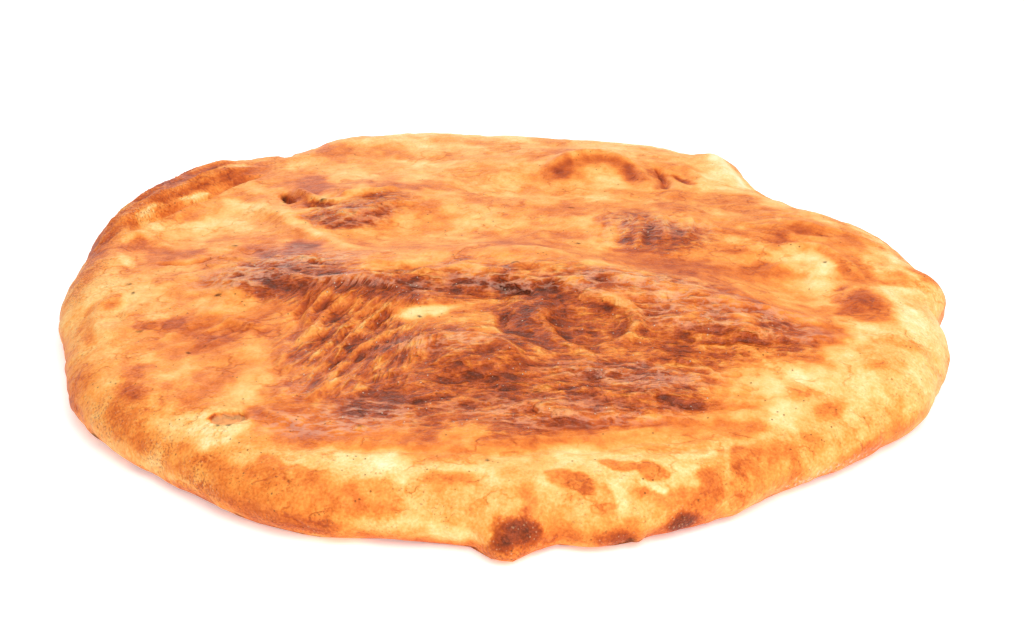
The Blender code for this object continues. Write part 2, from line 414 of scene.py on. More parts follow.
def alongWrinkles(points, turn, spacing, seed):   # ridged noise drawn out along one direction
    along, aside = turned(points[:, 0], points[:, 1], turn)
    drawn = np.stack([along / 6.0, aside, points[:, 2] * 0.3], axis=1)
    drawn[:, 1] += 0.4 * spacing * latticeNoise(points, spacing * 3.0, seed + 50)
    ridge = 1.0 - 2.6 * np.abs(latticeNoise(drawn, spacing, seed))
    fine = 1.0 - 2.6 * np.abs(latticeNoise(drawn, spacing * 0.5, seed + 1))
    return 0.7 * ridge + 0.4 * fine


def crumpled(points, size, seed):          # crossing creases of a dried skin
    bent = points.copy()
    for axis in range(3):
        bent[:, axis] += 0.3 * size * latticeNoise(points, size * 1.6, seed + 5 + axis)
    total = 1.0 - 2.4 * np.abs(latticeNoise(bent, size, seed))
    total += 0.5 * (1.0 - 2.4 * np.abs(latticeNoise(bent, size * 0.5, seed + 1)))
    return total


def foldLift(across, back):
    total = np.zeros(len(across))
    for breadth, height, run in folds:
        gap, share = strokeDistance(across, back, smoothRun(run))
        ends = ease(0.0, 0.22, share) * ease(0.0, 0.22, 1.0 - share)
        spread = gap * halfWidth / (crust["foldBreadth"] * breadth)
        total += crust["foldHeight"] * height * ends * np.exp(-0.5 * spread ** 2)
    return total


def blisterLift(across, back):
    total = np.zeros(len(across))
    for oval, height in blisters:
        total += millimetre * height * np.exp(-ovalDistance(across, back, oval) ** 2)
    for oval, height in mounds:
        total += millimetre * height * within(ovalDistance(across, back, oval), 0.45, 1.15)
    return total


def wrinkleLift(points, across, back):
    total = np.zeros(len(across))
    for number, (oval, turn, spacing, height) in enumerate(wrinkleFields):
        mask = within(ovalDistance(across, back, oval), 0.55, 1.25)
        wrinkles = alongWrinkles(points, turn, millimetre * spacing, 200 + 10 * number)
        total += crust["wrinkleHeight"] * height * mask * wrinkles
    return total


def glazeArea(across, back):               # the browned, wrinkled middle
    area = np.zeros(len(across))
    for oval in glazedOvals:
        area = np.maximum(area, within(ovalDistance(across, back, oval), 0.70, 1.15))
    return area


def roughness(points, name, layers, seed):
    size, height = crust[name]
    return height * layeredNoise(points, size, layers, seed)


def nudgeEdge(points, angle, reach):       # bulges and dents of the outline
    middle = np.maximum(np.hypot(points[:, 0], points[:, 1]), 0.01)
    outward = points[:, :2] / middle[:, None]
    push = np.zeros(len(points))
    for place, spread, amount in edgeNudges:
        push += millimetre * amount * np.exp(-(turnFrom(angle, place) / spread) ** 2)
    points[:, :2] += outward * (push * ease(0.72, 0.97, reach))[:, None]


def shapeCrust(piece):
    mesh = piece.data
    points = pointsOf(mesh)
    normals = normalsOf(mesh)
    across = points[:, 0] / halfWidth
    back = points[:, 1] / halfDepth
    flatHeight = points[:, 2].copy()
    upper = ease(0.05, 0.55, normals[:, 2])
    under = ease(-0.6, -0.95, normals[:, 2])
    wall = (1.0 - upper) * (1.0 - under)
    waverSize, waverShift = crust["waver"]
    bentAcross = across + waverShift * latticeNoise(points, waverSize, 31)
    bentBack = back + waverShift * latticeNoise(points, waverSize, 32)
    lift = foldLift(bentAcross, bentBack) + blisterLift(across, back)
    lift += wrinkleLift(points, bentAcross, bentBack)
    size, height = crust["driedSkin"]
    lift += height * glazeArea(bentAcross, bentBack) * crumpled(points, size, 101)
    size, height = crust["crumple"]
    lift += height * crumpled(points, size, 111)
    lift *= upper
    lift += (1.0 - under) * roughness(points, "lump", 1, 3)
    lift += (1.0 - under) * roughness(points, "smallLump", 2, 5)
    lift += wall * roughness(points, "wall", 2, 9)
    lift += (1.0 - under) * roughness(points, "grain", 2, 12)
    points += normals * lift[:, None]
    nudgeEdge(points, anglesRound(points), np.hypot(across, back))
    hole = ovalDistance(across, back, bubble["oval"])
    brim = np.exp(-((hole - 1.35) / 0.28) ** 2)
    points[:, 2] += upper * (bubble["lip"] * brim - bubble["depth"] * within(hole, 0.80, 1.12))
    size, height = crust["undersideDent"]
    dents = height * ease(-0.1, 0.9, layeredNoise(points, size, 3, 21))
    points[:, 2] = np.maximum(points[:, 2], 0.0) + under * dents
    setPoints(mesh, points)
    aboveNeighbours = points - evened(points, edgesOf(mesh), crust["proudPasses"])
    return {
        "upper": upper, "under": under, "wall": wall,
        "hole": within(hole, 0.90, 1.10),
        "proud": np.sum(aboveNeighbours * normals, axis=1),
        "raised": upper * (points[:, 2] - flatHeight),
    }


# How far each place is baked: 0 pale dough, 1 almost burnt.

# Soft patches: oval, how far baked, how fully the patch covers what is under it.
bakedPatches = [
    # wide grounds
    ((0.0, -0.02, 0.75, 0.2, -3), 0.4, 0.8),
    ((0.0, 0.92, 0.5, 0.08, 0), 0.19, 0.9),
    ((0.0, 0.74, 0.4, 0.12, 0), 0.28, 0.7),
    ((0.3, 0.87, 0.22, 0.06, -14), 0.17, 0.8),
    ((-0.3, 0.6, 0.18, 0.1, 0), 0.27, 0.8),
    ((0.0, 0.2, 0.35, 0.1, 0), 0.3, 0.6),
    ((0.75, -0.45, 0.25, 0.22, 30), 0.27, 0.9),
    ((0.5, -0.62, 0.25, 0.13, 22), 0.22, 0.9),
    ((0.9, -0.2, 0.12, 0.22, 8), 0.17, 0.9),
    ((-0.55, -0.62, 0.13, 0.22, 40), 0.36, 0.85),
    ((-0.82, -0.18, 0.12, 0.2, 8), 0.24, 0.8),
    ((-0.72, 0.3, 0.16, 0.1, 32), 0.15, 0.9),
    # front rim: pale band and golden band
    ((-0.3, -0.82, 0.26, 0.04, -6), 0.22, 0.95),
    ((0.1, -0.84, 0.28, 0.045, 4), 0.21, 0.95),
    ((0.38, -0.77, 0.22, 0.04, 20), 0.22, 0.9),
    ((-0.25, -0.825, 0.08, 0.03, -4), 0.12, 0.8),
    ((-0.34, -0.885, 0.14, 0.022, -10), 0.43, 0.85),
    ((-0.1, -0.87, 0.05, 0.018, 4), 0.48, 0.8),
    ((-0.6, -0.79, 0.14, 0.04, -36), 0.48, 0.85),
    ((-0.68, -0.67, 0.07, 0.035, -42), 0.62, 0.85),
    ((-0.8, -0.56, 0.08, 0.05, -50), 0.5, 0.8),
    ((0.5, -0.74, 0.05, 0.035, 34), 0.46, 0.8),
    ((0.58, -0.68, 0.03, 0.02, 30), 0.2, 0.7),
    # left side
    ((-0.755, -0.255, 0.034, 0.028, 0), 0.66, 0.9),
    ((-0.69, -0.21, 0.03, 0.05, 30), 0.58, 0.8),
    ((-0.62, -0.27, 0.06, 0.04, 20), 0.58, 0.7),
    ((-0.65, -0.37, 0.06, 0.05, 10), 0.55, 0.85),
    ((-0.58, -0.42, 0.05, 0.06, 0), 0.57, 0.8),
    ((-0.56, -0.3, 0.04, 0.05, 30), 0.56, 0.7),
    ((-0.46, -0.38, 0.035, 0.09, 10), 0.42, 0.8),
    ((-0.68, -0.47, 0.11, 0.026, -38), 0.22, 0.85),
    ((-0.76, -0.44, 0.06, 0.03, -30), 0.56, 0.7),
    ((-0.72, -0.52, 0.05, 0.03, -20), 0.7, 0.8),
    ((-0.55, -0.5, 0.05, 0.05, 0), 0.52, 0.7),
    ((-0.58, -0.66, 0.07, 0.04, -40), 0.22, 0.8),
    ((-0.4, -0.73, 0.09, 0.03, -14), 0.38, 0.7),
    ((-0.46, -0.665, 0.05, 0.03, -20), 0.58, 0.8),
    ((-0.435, -0.6, 0.045, 0.05, 0), 0.66, 0.9),
    ((-0.7, 0.03, 0.06, 0.04, 0), 0.52, 0.7),
    ((-0.6, 0.14, 0.06, 0.06, 0), 0.4, 0.7),
    ((-0.62, -0.08, 0.06, 0.05, 0), 0.56, 0.7),
    ((-0.84, 0.15, 0.04, 0.05, -20), 0.47, 0.85),
    ((-0.75, 0.09, 0.07, 0.05, -30), 0.6, 0.9),
    ((-0.862, 0.06, 0.014, 0.045, 8), 0.15, 0.8),
    # hollow and folded lip at the back left
    ((-0.71, 0.49, 0.09, 0.04, 30), 0.5, 0.9),
    ((-0.8, 0.34, 0.06, 0.03, 50), 0.48, 0.8),
    ((-0.66, 0.36, 0.06, 0.045, 50), 0.22, 0.85),
    ((-0.74, 0.235, 0.11, 0.03, 10), 0.17, 0.85),
    ((-0.57, 0.28, 0.04, 0.1, 32), 0.47, 0.7),
    ((-0.52, 0.2, 0.03, 0.06, 30), 0.5, 0.7),
    ((-0.86, 0.48, 0.07, 0.23, -36), 0.64, 0.95),
    ((-0.7, 0.7, 0.12, 0.05, 28), 0.54, 0.8),
    ((-0.955, 0.18, 0.05, 0.2, 6), 0.64, 0.95),
    ((-0.89, 0.4, 0.03, 0.12, -26), 0.62, 0.7),
    ((-0.74, 0.66, 0.11, 0.03, 34), 0.52, 0.7),
    ((-0.68, 0.67, 0.05, 0.012, 20), 0.44, 0.8),
    # back left
    ((-0.5, 0.52, 0.05, 0.08, -20), 0.52, 0.8),
    ((-0.49, 0.41, 0.06, 0.07, -30), 0.62, 0.85),
    ((-0.475, 0.4, 0.025, 0.025, 0), 0.46, 0.9),
    ((-0.44, 0.335, 0.045, 0.02, -20), 0.86, 0.9),
    ((-0.36, 0.27, 0.11, 0.05, 0), 0.62, 0.9),
    ((-0.37, 0.235, 0.045, 0.03, 0), 0.68, 0.8),
    ((-0.3, 0.34, 0.07, 0.045, 15), 0.6, 0.85),
    ((-0.25, 0.44, 0.08, 0.05, 0), 0.55, 0.7),
    ((-0.19, 0.29, 0.05, 0.05, 0), 0.54, 0.8),
    ((-0.33, 0.16, 0.1, 0.04, -10), 0.34, 0.6),
    ((-0.52, 0.0, 0.06, 0.06, 0), 0.64, 0.8),
    ((-0.42, 0.76, 0.12, 0.04, 10), 0.52, 0.85),
    ((-0.25, 0.72, 0.11, 0.035, -22), 0.54, 0.85),
    ((-0.08, 0.67, 0.06, 0.06, 0), 0.47, 0.8),
    ((-0.45, 0.86, 0.09, 0.04, 24), 0.46, 0.8),
    ((-0.1, 0.5, 0.1, 0.04, 0), 0.34, 0.7),
    # back right
    ((0.07, 0.72, 0.11, 0.07, 0), 0.42, 0.8),
    ((0.2, 0.68, 0.07, 0.05, 0), 0.45, 0.8),
    ((0.13, 0.5, 0.07, 0.045, 0), 0.24, 0.8),
    ((0.27, 0.52, 0.04, 0.04, 0), 0.3, 0.85),
    ((0.22, 0.4, 0.05, 0.06, 0), 0.2, 0.8),
    ((0.12, 0.38, 0.09, 0.06, 0), 0.4, 0.7),
    ((0.14, 0.29, 0.08, 0.06, 0), 0.5, 0.8),
    ((0.02, 0.3, 0.04, 0.06, 0), 0.42, 0.7),
    ((0.46, 0.44, 0.06, 0.06, 0), 0.4, 0.85),
    ((0.4, 0.34, 0.05, 0.05, 0), 0.55, 0.8),
    ((0.56, 0.39, 0.07, 0.06, 0), 0.42, 0.85),
    ((0.49, 0.55, 0.025, 0.05, 0), 0.36, 0.8),
    ((0.46, 0.26, 0.06, 0.03, 0), 0.42, 0.7),
    ((0.52, 0.22, 0.05, 0.025, 0), 0.38, 0.7),
    ((0.3, 0.24, 0.06, 0.07, -20), 0.62, 0.85),
    ((0.35, 0.13, 0.09, 0.08, 0), 0.68, 0.9),
    ((0.335, 0.13, 0.02, 0.06, 0), 0.78, 0.8),
    ((0.285, 0.13, 0.014, 0.07, 0), 0.78, 0.8),
    ((0.39, 0.12, 0.018, 0.05, 0), 0.8, 0.8),
    ((0.46, 0.08, 0.08, 0.04, -10), 0.54, 0.8),
    ((0.6, 0.18, 0.06, 0.05, 0), 0.54, 0.8),
    ((0.67, 0.22, 0.09, 0.06, -20), 0.56, 0.85),
    ((0.63, 0.32, 0.07, 0.05, -30), 0.5, 0.8),
    ((0.76, 0.12, 0.055, 0.07, 20), 0.54, 0.85),
    ((0.79, -0.01, 0.045, 0.07, 20), 0.52, 0.85),
    ((0.67, 0.01, 0.075, 0.042, -32), 0.17, 0.9),
    ((0.62, -0.06, 0.045, 0.05, 0), 0.36, 0.8),
    ((0.56, -0.02, 0.06, 0.04, 20), 0.52, 0.8),
    ((0.545, 0.7, 0.035, 0.11, -8), 0.04, 0.95),
    ((0.54, 0.58, 0.09, 0.12, 0), 0.24, 0.7),
    ((0.65, 0.56, 0.06, 0.04, -50), 0.46, 0.8),
    ((0.84, 0.3, 0.07, 0.08, -20), 0.32, 0.8),
    ((0.13, 0.89, 0.06, 0.05, 0), 0.46, 0.8),
    ((0.91, 0.06, 0.04, 0.06, 0), 0.1, 0.8),
    ((0.965, -0.01, 0.03, 0.05, 0), 0.3, 0.8),
    ((0.88, -0.02, 0.05, 0.03, 20), 0.5, 0.8),
    # right side
    ((0.768, -0.145, 0.052, 0.068, 0), 0.62, 0.95),
    ((0.765, -0.13, 0.026, 0.032, 0), 0.74, 0.8),
    ((0.75, -0.24, 0.05, 0.04, 30), 0.54, 0.8),
    ((0.67, -0.24, 0.04, 0.05, 0), 0.38, 0.8),
    ((0.6, -0.16, 0.08, 0.06, 0), 0.5, 0.7),
    ((0.76, -0.35, 0.07, 0.05, 10), 0.12, 0.85),
    ((0.62, -0.43, 0.06, 0.05, -20), 0.56, 0.9),
    ((0.8, -0.38, 0.06, 0.025, 20), 0.36, 0.7),
    ((0.77, -0.44, 0.07, 0.018, 30), 0.42, 0.6),
    ((0.48, -0.49, 0.05, 0.05, 0), 0.12, 0.85),
    ((0.57, -0.565, 0.03, 0.02, 20), 0.4, 0.7),
    ((0.645, -0.605, 0.05, 0.018, 30), 0.44, 0.8),
    ((0.5, -0.6, 0.05, 0.03, 0), 0.42, 0.7),
    ((0.42, -0.62, 0.04, 0.05, -20), 0.22, 0.7),
    ((0.26, -0.755, 0.2, 0.02, 8), 0.3, 0.8),
    ((0.3, -0.765, 0.14, 0.008, 10), 0.46, 0.7),
    ((0.44, -0.7, 0.1, 0.01, 30), 0.46, 0.7),
    # brown glazed middle
    ((-0.33, -0.33, 0.17, 0.17, 20), 0.64, 0.9),
    ((-0.24, -0.54, 0.19, 0.18, 0), 0.68, 0.9),
    ((0.05, -0.4, 0.24, 0.15, 0), 0.66, 0.9),
    ((0.18, -0.58, 0.28, 0.15, 4), 0.68, 0.9),
    ((0.4, -0.38, 0.22, 0.1, 0), 0.6, 0.9),
    ((-0.02, -0.72, 0.36, 0.06, 3), 0.5, 0.85),
    ((0.38, -0.08, 0.16, 0.11, 0), 0.57, 0.8),
    ((0.06, 0.06, 0.15, 0.14, 30), 0.52, 0.75),
    ((-0.02, 0.02, 0.05, 0.1, 0), 0.6, 0.6),
    ((-0.31, -0.7, 0.1, 0.08, 10), 0.6, 0.85),
    ((-0.41, -0.42, 0.06, 0.12, 0), 0.58, 0.8),
    ((-0.37, -0.27, 0.07, 0.06, 0), 0.62, 0.8),
    ((-0.28, -0.36, 0.04, 0.12, -28), 0.64, 0.7),
    ((-0.09, -0.55, 0.13, 0.06, 0), 0.73, 0.95),
    ((-0.04, -0.565, 0.06, 0.04, 0), 0.8, 0.9),
    ((-0.24, -0.47, 0.08, 0.05, 20), 0.76, 0.8),
    ((-0.26, -0.64, 0.12, 0.05, 0), 0.74, 0.85),
    ((-0.14, -0.66, 0.08, 0.03, 0), 0.56, 0.7),
    ((0.02, -0.36, 0.045, 0.09, 0), 0.78, 0.9),
    ((0.15, -0.36, 0.08, 0.075, 0), 0.66, 0.8),
    ((0.1, -0.36, 0.014, 0.08, -10), 0.54, 0.7),
    ((0.22, -0.33, 0.06, 0.02, -20), 0.68, 0.8),
    ((0.31, -0.43, 0.11, 0.03, 0), 0.7, 0.85),
    ((0.45, -0.39, 0.08, 0.026, 0), 0.56, 0.8),
    ((0.21, -0.59, 0.11, 0.04, 8), 0.76, 0.85),
    ((0.34, -0.6, 0.06, 0.06, 0), 0.74, 0.9),
    ((0.1, -0.68, 0.11, 0.03, 0), 0.62, 0.8),
    ((0.2, -0.48, 0.06, 0.034, -20), 0.56, 0.8),
    ((0.1, -0.53, 0.07, 0.02, -30), 0.48, 0.7),
    ((-0.172, -0.305, 0.06, 0.046, 14), 0.12, 0.95),
    ((-0.13, -0.345, 0.09, 0.034, 14), 0.44, 0.9),
    ((-0.04, -0.36, 0.024, 0.06, 0), 0.48, 0.9),
    ((-0.07, -0.44, 0.08, 0.02, 10), 0.52, 0.8),
    ((0.05, -0.47, 0.05, 0.02, -40), 0.5, 0.8),
    ((-0.43, -0.63, 0.05, 0.04, 0), 0.52, 0.8),
]

# More soft patches, laid over the streaks.
latePatches = [
    ((0.36, -0.535, 0.09, 0.03, 0), 0.72, 0.8),
    ((0.57, -0.27, 0.06, 0.034, 0), 0.6, 0.8),
    ((-0.84, 0.57, 0.04, 0.075, -30), 0.74, 0.9),
    ((-0.64, 0.45, 0.09, 0.03, -20), 0.52, 0.8),
    ((-0.43, 0.4, 0.05, 0.03, 0), 0.62, 0.8),
    ((-0.76, 0.03, 0.05, 0.03, 0), 0.54, 0.8),
    ((-0.15, -0.41, 0.07, 0.02, 14), 0.68, 0.8),
    ((0.38, -0.79, 0.05, 0.02, 20), 0.44, 0.8),
    ((0.04, -0.93, 0.06, 0.03, 0), 0.52, 0.7),
    ((0.945, 0.05, 0.03, 0.034, -40), 0.54, 0.8),
    ((-0.32, -0.44, 0.03, 0.07, -28), 0.66, 0.7),
    ((-0.52, 0.6, 0.05, 0.03, 0), 0.46, 0.8),
    ((-0.68, -0.14, 0.24, 0.42, 8), 0.48, 0.4),
    ((-0.47, 0.04, 0.045, 0.08, 10), 0.74, 0.9),
    ((-0.5, -0.02, 0.08, 0.05, 0), 0.7, 0.6),
    ((-0.42, 0.72, 0.12, 0.12, 10), 0.46, 0.5),
    ((-0.47, 0.46, 0.05, 0.06, 0), 0.62, 0.8),
    ((-0.49, 0.53, 0.03, 0.04, 0), 0.6, 0.7),
    ((-0.14, -0.215, 0.09, 0.02, 0), 0.68, 0.9),
    ((-0.285, -0.5, 0.03, 0.08, -24), 0.66, 0.8),
    ((-0.17, -0.405, 0.1, 0.022, 14), 0.62, 0.8),
    ((0.02, -0.43, 0.06, 0.018, -10), 0.7, 0.7),
    ((0.09, -0.33, 0.03, 0.06, 0), 0.76, 0.7),
    ((0.2, -0.305, 0.06, 0.018, -10), 0.76, 0.8),
    ((0.2, -0.515, 0.06, 0.02, 0), 0.8, 0.8),
    ((0.33, -0.475, 0.06, 0.02, 0), 0.34, 0.7),
    ((-0.36, -0.645, 0.05, 0.05, 0), 0.44, 0.7),
    ((0.34, -0.655, 0.1, 0.022, 8), 0.4, 0.7),
    ((-0.06, -0.155, 0.05, 0.02, 0), 0.38, 0.7),
    ((0.7, -0.065, 0.035, 0.035, 0), 0.26, 0.7),
    ((0.55, 0.6, 0.06, 0.12, 0), 0.18, 0.7),
    ((0.78, 0.33, 0.07, 0.07, 0), 0.26, 0.4),
    ((0.25, 0.79, 0.09, 0.05, 0), 0.22, 0.7),
    ((-0.19, 0.76, 0.08, 0.05, 0), 0.2, 0.7),
    ((-0.855, -0.15, 0.022, 0.05, 0), 0.68, 0.7),
    ((0.52, -0.72, 0.1, 0.035, 36), 0.54, 0.7),
    ((0.3, -0.89, 0.14, 0.02, 14), 0.56, 0.7),
    ((-0.25, -0.86, 0.08, 0.022, -4), 0.2, 0.7),
    ((0.225, 0.21, 0.03, 0.04, 0), 0.7, 0.8),
    ((0.3, 0.035, 0.06, 0.018, 0), 0.7, 0.7),
    ((0.68, -0.33, 0.05, 0.05, 0), 0.56, 0.7),
    ((-0.13, 0.46, 0.1, 0.03, 0), 0.42, 0.5),
    ((-0.62, -0.55, 0.07, 0.06, -30), 0.46, 0.6),
    ((-0.12, -0.245, 0.09, 0.018, 12), 0.7, 0.6),
    ((-0.455, -0.145, 0.1, 0.055, -14), 0.78, 0.85),
    ((-0.16, -0.135, 0.13, 0.02, 0), 0.48, 0.6),
    ((0.585, 0.62, 0.036, 0.1, 14), 0.05, 0.85),
    ((0.15, 0.9, 0.05, 0.026, 0), 0.48, 0.8),
]

# Blotches with a sharper edge: oval, how far baked, cover.
crispPatches = [
    ((0.105, -0.88, 0.034, 0.02, -14), 0.49, 0.9),
    ((0.14, -0.895, 0.026, 0.022, 30), 0.5, 0.9),
    ((0.19, -0.88, 0.02, 0.02, 0), 0.2, 0.8),
    ((0.235, -0.9, 0.03, 0.03, 0), 0.2, 0.8),
    ((0.28, -0.88, 0.018, 0.02, 0), 0.1, 0.8),
    ((0.235, -0.832, 0.046, 0.018, 6), 0.53, 0.95),
    ((0.28, -0.84, 0.022, 0.036, 0), 0.58, 0.9),
    ((0.33, -0.81, 0.022, 0.014, 0), 0.12, 0.8),
    ((0.375, -0.83, 0.034, 0.034, 10), 0.56, 0.9),
    ((0.35, -0.87, 0.03, 0.026, 0), 0.54, 0.8),
    ((0.455, -0.775, 0.024, 0.044, 10), 0.55, 0.9),
    ((0.405, -0.79, 0.016, 0.034, 0), 0.48, 0.8),
    ((0.52, -0.76, 0.07, 0.024, 34), 0.46, 0.8),
    ((0.44, -0.71, 0.12, 0.012, 28), 0.36, 0.6),
    ((-0.6, -0.77, 0.05, 0.04, -36), 0.52, 0.8),
    ((-0.46, -0.83, 0.06, 0.03, -24), 0.5, 0.8),
    ((-0.38, -0.86, 0.05, 0.022, -12), 0.46, 0.8),
    ((-0.545, -0.68, 0.065, 0.045, -6), 0.2, 0.8),
    ((-0.45, -0.65, 0.036, 0.014, -24), 0.6, 0.8),
    ((-0.35, -0.73, 0.03, 0.012, -10), 0.58, 0.7),
    ((-0.77, -0.28, 0.03, 0.016, -20), 0.6, 0.8),
    ((-0.7, -0.26, 0.026, 0.04, 24), 0.6, 0.8),
    ((-0.6, -0.36, 0.04, 0.022, 10), 0.62, 0.7),
    ((-0.86, 0.16, 0.024, 0.05, -20), 0.56, 0.8),
    ((0.62, -0.43, 0.05, 0.03, -20), 0.6, 0.8),
    ((0.74, -0.25, 0.04, 0.02, 20), 0.56, 0.7),
    ((0.955, 0.05, 0.022, 0.034, 0), 0.52, 0.8),
    ((-0.68, 0.63, 0.04, 0.008, 20), 0.22, 0.7),
    ((-0.765, 0.445, 0.045, 0.01, 36), 0.1, 0.7),
    ((-0.86, 0.33, 0.012, 0.05, -24), 0.12, 0.7),
    ((-0.845, 0.59, 0.026, 0.07, -26), 0.8, 0.8),
    ((-0.94, 0.4, 0.018, 0.07, -14), 0.34, 0.8),
    ((-0.98, 0.1, 0.018, 0.05, 0), 0.36, 0.7),
]

# Long streaks: half width, how far baked, cover, then the run of places.
bakedStreaks = [
    # along the crest
    (0.055, 0.74, 0.9, [(-0.62, -0.06), (-0.52, -0.09), (-0.4, -0.14), (-0.28, -0.2), (-0.16, -0.22)]),
    (0.048, 0.72, 0.9, [(-0.18, -0.22), (-0.08, -0.205), (0.02, -0.205), (0.1, -0.225), (0.2, -0.245)]),
    (0.04, 0.62, 0.8, [(0.1, -0.2), (0.26, -0.22), (0.42, -0.24), (0.6, -0.26)]),
    (0.034, 0.64, 0.8, [(0.3, -0.33), (0.44, -0.35), (0.58, -0.35), (0.68, -0.38)]),
    (0.014, 0.78, 0.8, [(-0.44, -0.19), (-0.32, -0.225), (-0.2, -0.225), (-0.1, -0.21)]),
    (0.014, 0.78, 0.8, [(-0.05, -0.2), (0.04, -0.22), (0.1, -0.26), (0.14, -0.32)]),
    # down the fan
    (0.01, 0.74, 0.8, [(-0.24, -0.27), (-0.29, -0.35), (-0.33, -0.44), (-0.37, -0.55)]),
    (0.01, 0.72, 0.8, [(-0.29, -0.26), (-0.35, -0.35), (-0.39, -0.45)]),
    (0.012, 0.7, 0.8, [(-0.36, -0.24), (-0.41, -0.32), (-0.43, -0.4)]),
    (0.01, 0.42, 0.7, [(-0.26, -0.26), (-0.32, -0.36), (-0.36, -0.46)]),
    (0.012, 0.44, 0.7, [(-0.2, -0.36), (-0.28, -0.45), (-0.34, -0.56)]),
    (0.014, 0.4, 0.7, [(-0.15, -0.41), (-0.24, -0.5), (-0.31, -0.6)]),
    # arch at the back right and the dark cracks beside it
    (0.04, 0.61, 0.95, [(0.08, 0.55), (0.18, 0.62), (0.27, 0.64), (0.33, 0.57), (0.345, 0.49)]),
    (0.02, 0.7, 0.9, [(0.26, 0.655), (0.32, 0.6), (0.345, 0.52)]),
    (0.015, 0.68, 0.9, [(0.37, 0.62), (0.4, 0.55), (0.39, 0.47)]),
    (0.012, 0.6, 0.9, [(0.41, 0.59), (0.46, 0.53)]),
    # pale and amber runs at the left
    (0.02, 0.2, 0.8, [(-0.58, 0.44), (-0.5, 0.27), (-0.41, 0.13), (-0.33, 0.0)]),
    (0.016, 0.17, 0.85, [(-0.83, -0.1), (-0.835, -0.18), (-0.825, -0.25), (-0.79, -0.32)]),
    (0.016, 0.58, 0.8, [(-0.87, -0.1), (-0.895, -0.19), (-0.88, -0.27), (-0.83, -0.34)]),
    (0.022, 0.54, 0.7, [(-0.6, 0.03), (-0.52, 0.01), (-0.46, -0.04), (-0.36, -0.1)]),
    (0.02, 0.6, 0.8, [(-0.62, 0.1), (-0.54, 0.04), (-0.49, -0.03)]),
    (0.055, 0.64, 0.9, [(-0.965, 0.17), (-0.92, 0.3), (-0.86, 0.42), (-0.79, 0.525), (-0.69, 0.6),
                        (-0.6, 0.65)]),
    # right side
    (0.03, 0.53, 0.8, [(0.5, 0.27), (0.6, 0.24), (0.7, 0.19), (0.79, 0.12), (0.83, 0.03)]),
    (0.02, 0.18, 0.85, [(0.79, 0.31), (0.84, 0.25), (0.88, 0.19), (0.91, 0.13)]),
    (0.02, 0.56, 0.8, [(0.44, 0.19), (0.54, 0.17), (0.64, 0.13), (0.71, 0.08)]),
    (0.018, 0.58, 0.8, [(0.71, 0.09), (0.745, 0.03), (0.75, -0.04)]),
    (0.018, 0.54, 0.8, [(0.8, -0.05), (0.85, -0.06), (0.91, -0.03)]),
    (0.022, 0.52, 0.8, [(0.6, -0.3), (0.66, -0.35), (0.7, -0.41)]),
    # front rim
    (0.02, 0.46, 0.7, [(-0.52, -0.68), (-0.44, -0.745), (-0.34, -0.775)]),
    (0.022, 0.46, 0.8, [(0.4, -0.68), (0.46, -0.66), (0.52, -0.61)]),
]

# Blotches of the side wall: angle, height share, half angle, half height, how far baked.
wallBlotches = [
    (195, 0.3, 8, 0.22, 0.44),
    (207, 0.2, 6, 0.18, 0.52),
    (214, 0.36, 3, 0.1, 0.6),
    (225, 0.42, 5, 0.1, 0.55),
    (231, 0.28, 4, 0.08, 0.56),
    (238, 0.3, 5, 0.16, 0.54),
    (246, 0.18, 5, 0.1, 0.5),
    (246, 0.38, 5, 0.08, 0.36),
    (256, 0.32, 6, 0.14, 0.17),
    (264, 0.26, 4, 0.2, 0.2),
    (270, 0.4, 4, 0.07, 0.46),
    (278, 0.18, 5, 0.12, 0.56),
    (282, 0.12, 2.2, 0.1, 0.74),
    (278, 0.4, 3, 0.07, 0.52),
    (283, 0.38, 3, 0.08, 0.14),
    (287, 0.44, 3, 0.06, 0.52),
    (288, 0.34, 2, 0.05, 0.18),
    (290.5, 0.16, 2.4, 0.1, 0.84),
    (296, 0.4, 5, 0.08, 0.54),
    (301, 0.42, 2, 0.07, 0.6),
    (305, 0.25, 6, 0.06, 0.5),
    (315, 0.36, 6, 0.12, 0.2),
    (326, 0.26, 4, 0.16, 0.48),
    (338, 0.3, 8, 0.2, 0.26),
    (354, 0.34, 6, 0.14, 0.5),
    (10, 0.3, 8, 0.2, 0.36),
    (28, 0.28, 8, 0.18, 0.44),
    (50, 0.34, 8, 0.14, 0.24),
    (64, 0.26, 6, 0.14, 0.48),
    (86, 0.36, 14, 0.12, 0.22),
    (106, 0.3, 7, 0.12, 0.46),
    (124, 0.28, 5, 0.14, 0.54),
    (146, 0.3, 14, 0.3, 0.58),
    (166, 0.28, 10, 0.26, 0.56),
    (183, 0.28, 6, 0.2, 0.5),
]

baking = {
    "ground": 0.375,                       # plain golden crust
    "softEdge": (0.50, 1.45),              # where a patch starts and stops fading
    "crispEdge": (0.78, 1.18),
    "cloud": (0.024, 0.060),               # size in metres and strength of soft colour clouds
    "blotch": (0.0100, 0.095),
    "streak": (0.0060, 0.040),
    "fleck": (0.0032, 0.030),
    "raggedEdge": ((0.016, 0.022), (0.006, 0.012), (0.0022, 0.006)),   # size, then shift in shares
    "lean": 2.1,                           # how far colour leans back over raised places
    "creaseShadeRidgeLight": 260.0,              # painted shade in creases and painted light on proud ridges: per metre below the skin around it
    "wall": 0.40,
    "wallCloud": (0.016, 0.10),
    "foot": 0.52,
    "footCover": 0.6,
    "underside": 0.46,
    "undersideCloud": (0.022, 0.22),
    "holeFront": 0.38,                     # inside the burst bubble, and the painted shade that darkens its back and its back edge
    "holeBackShade": 0.18,
    "holeEdgeShade": 0.78,
}

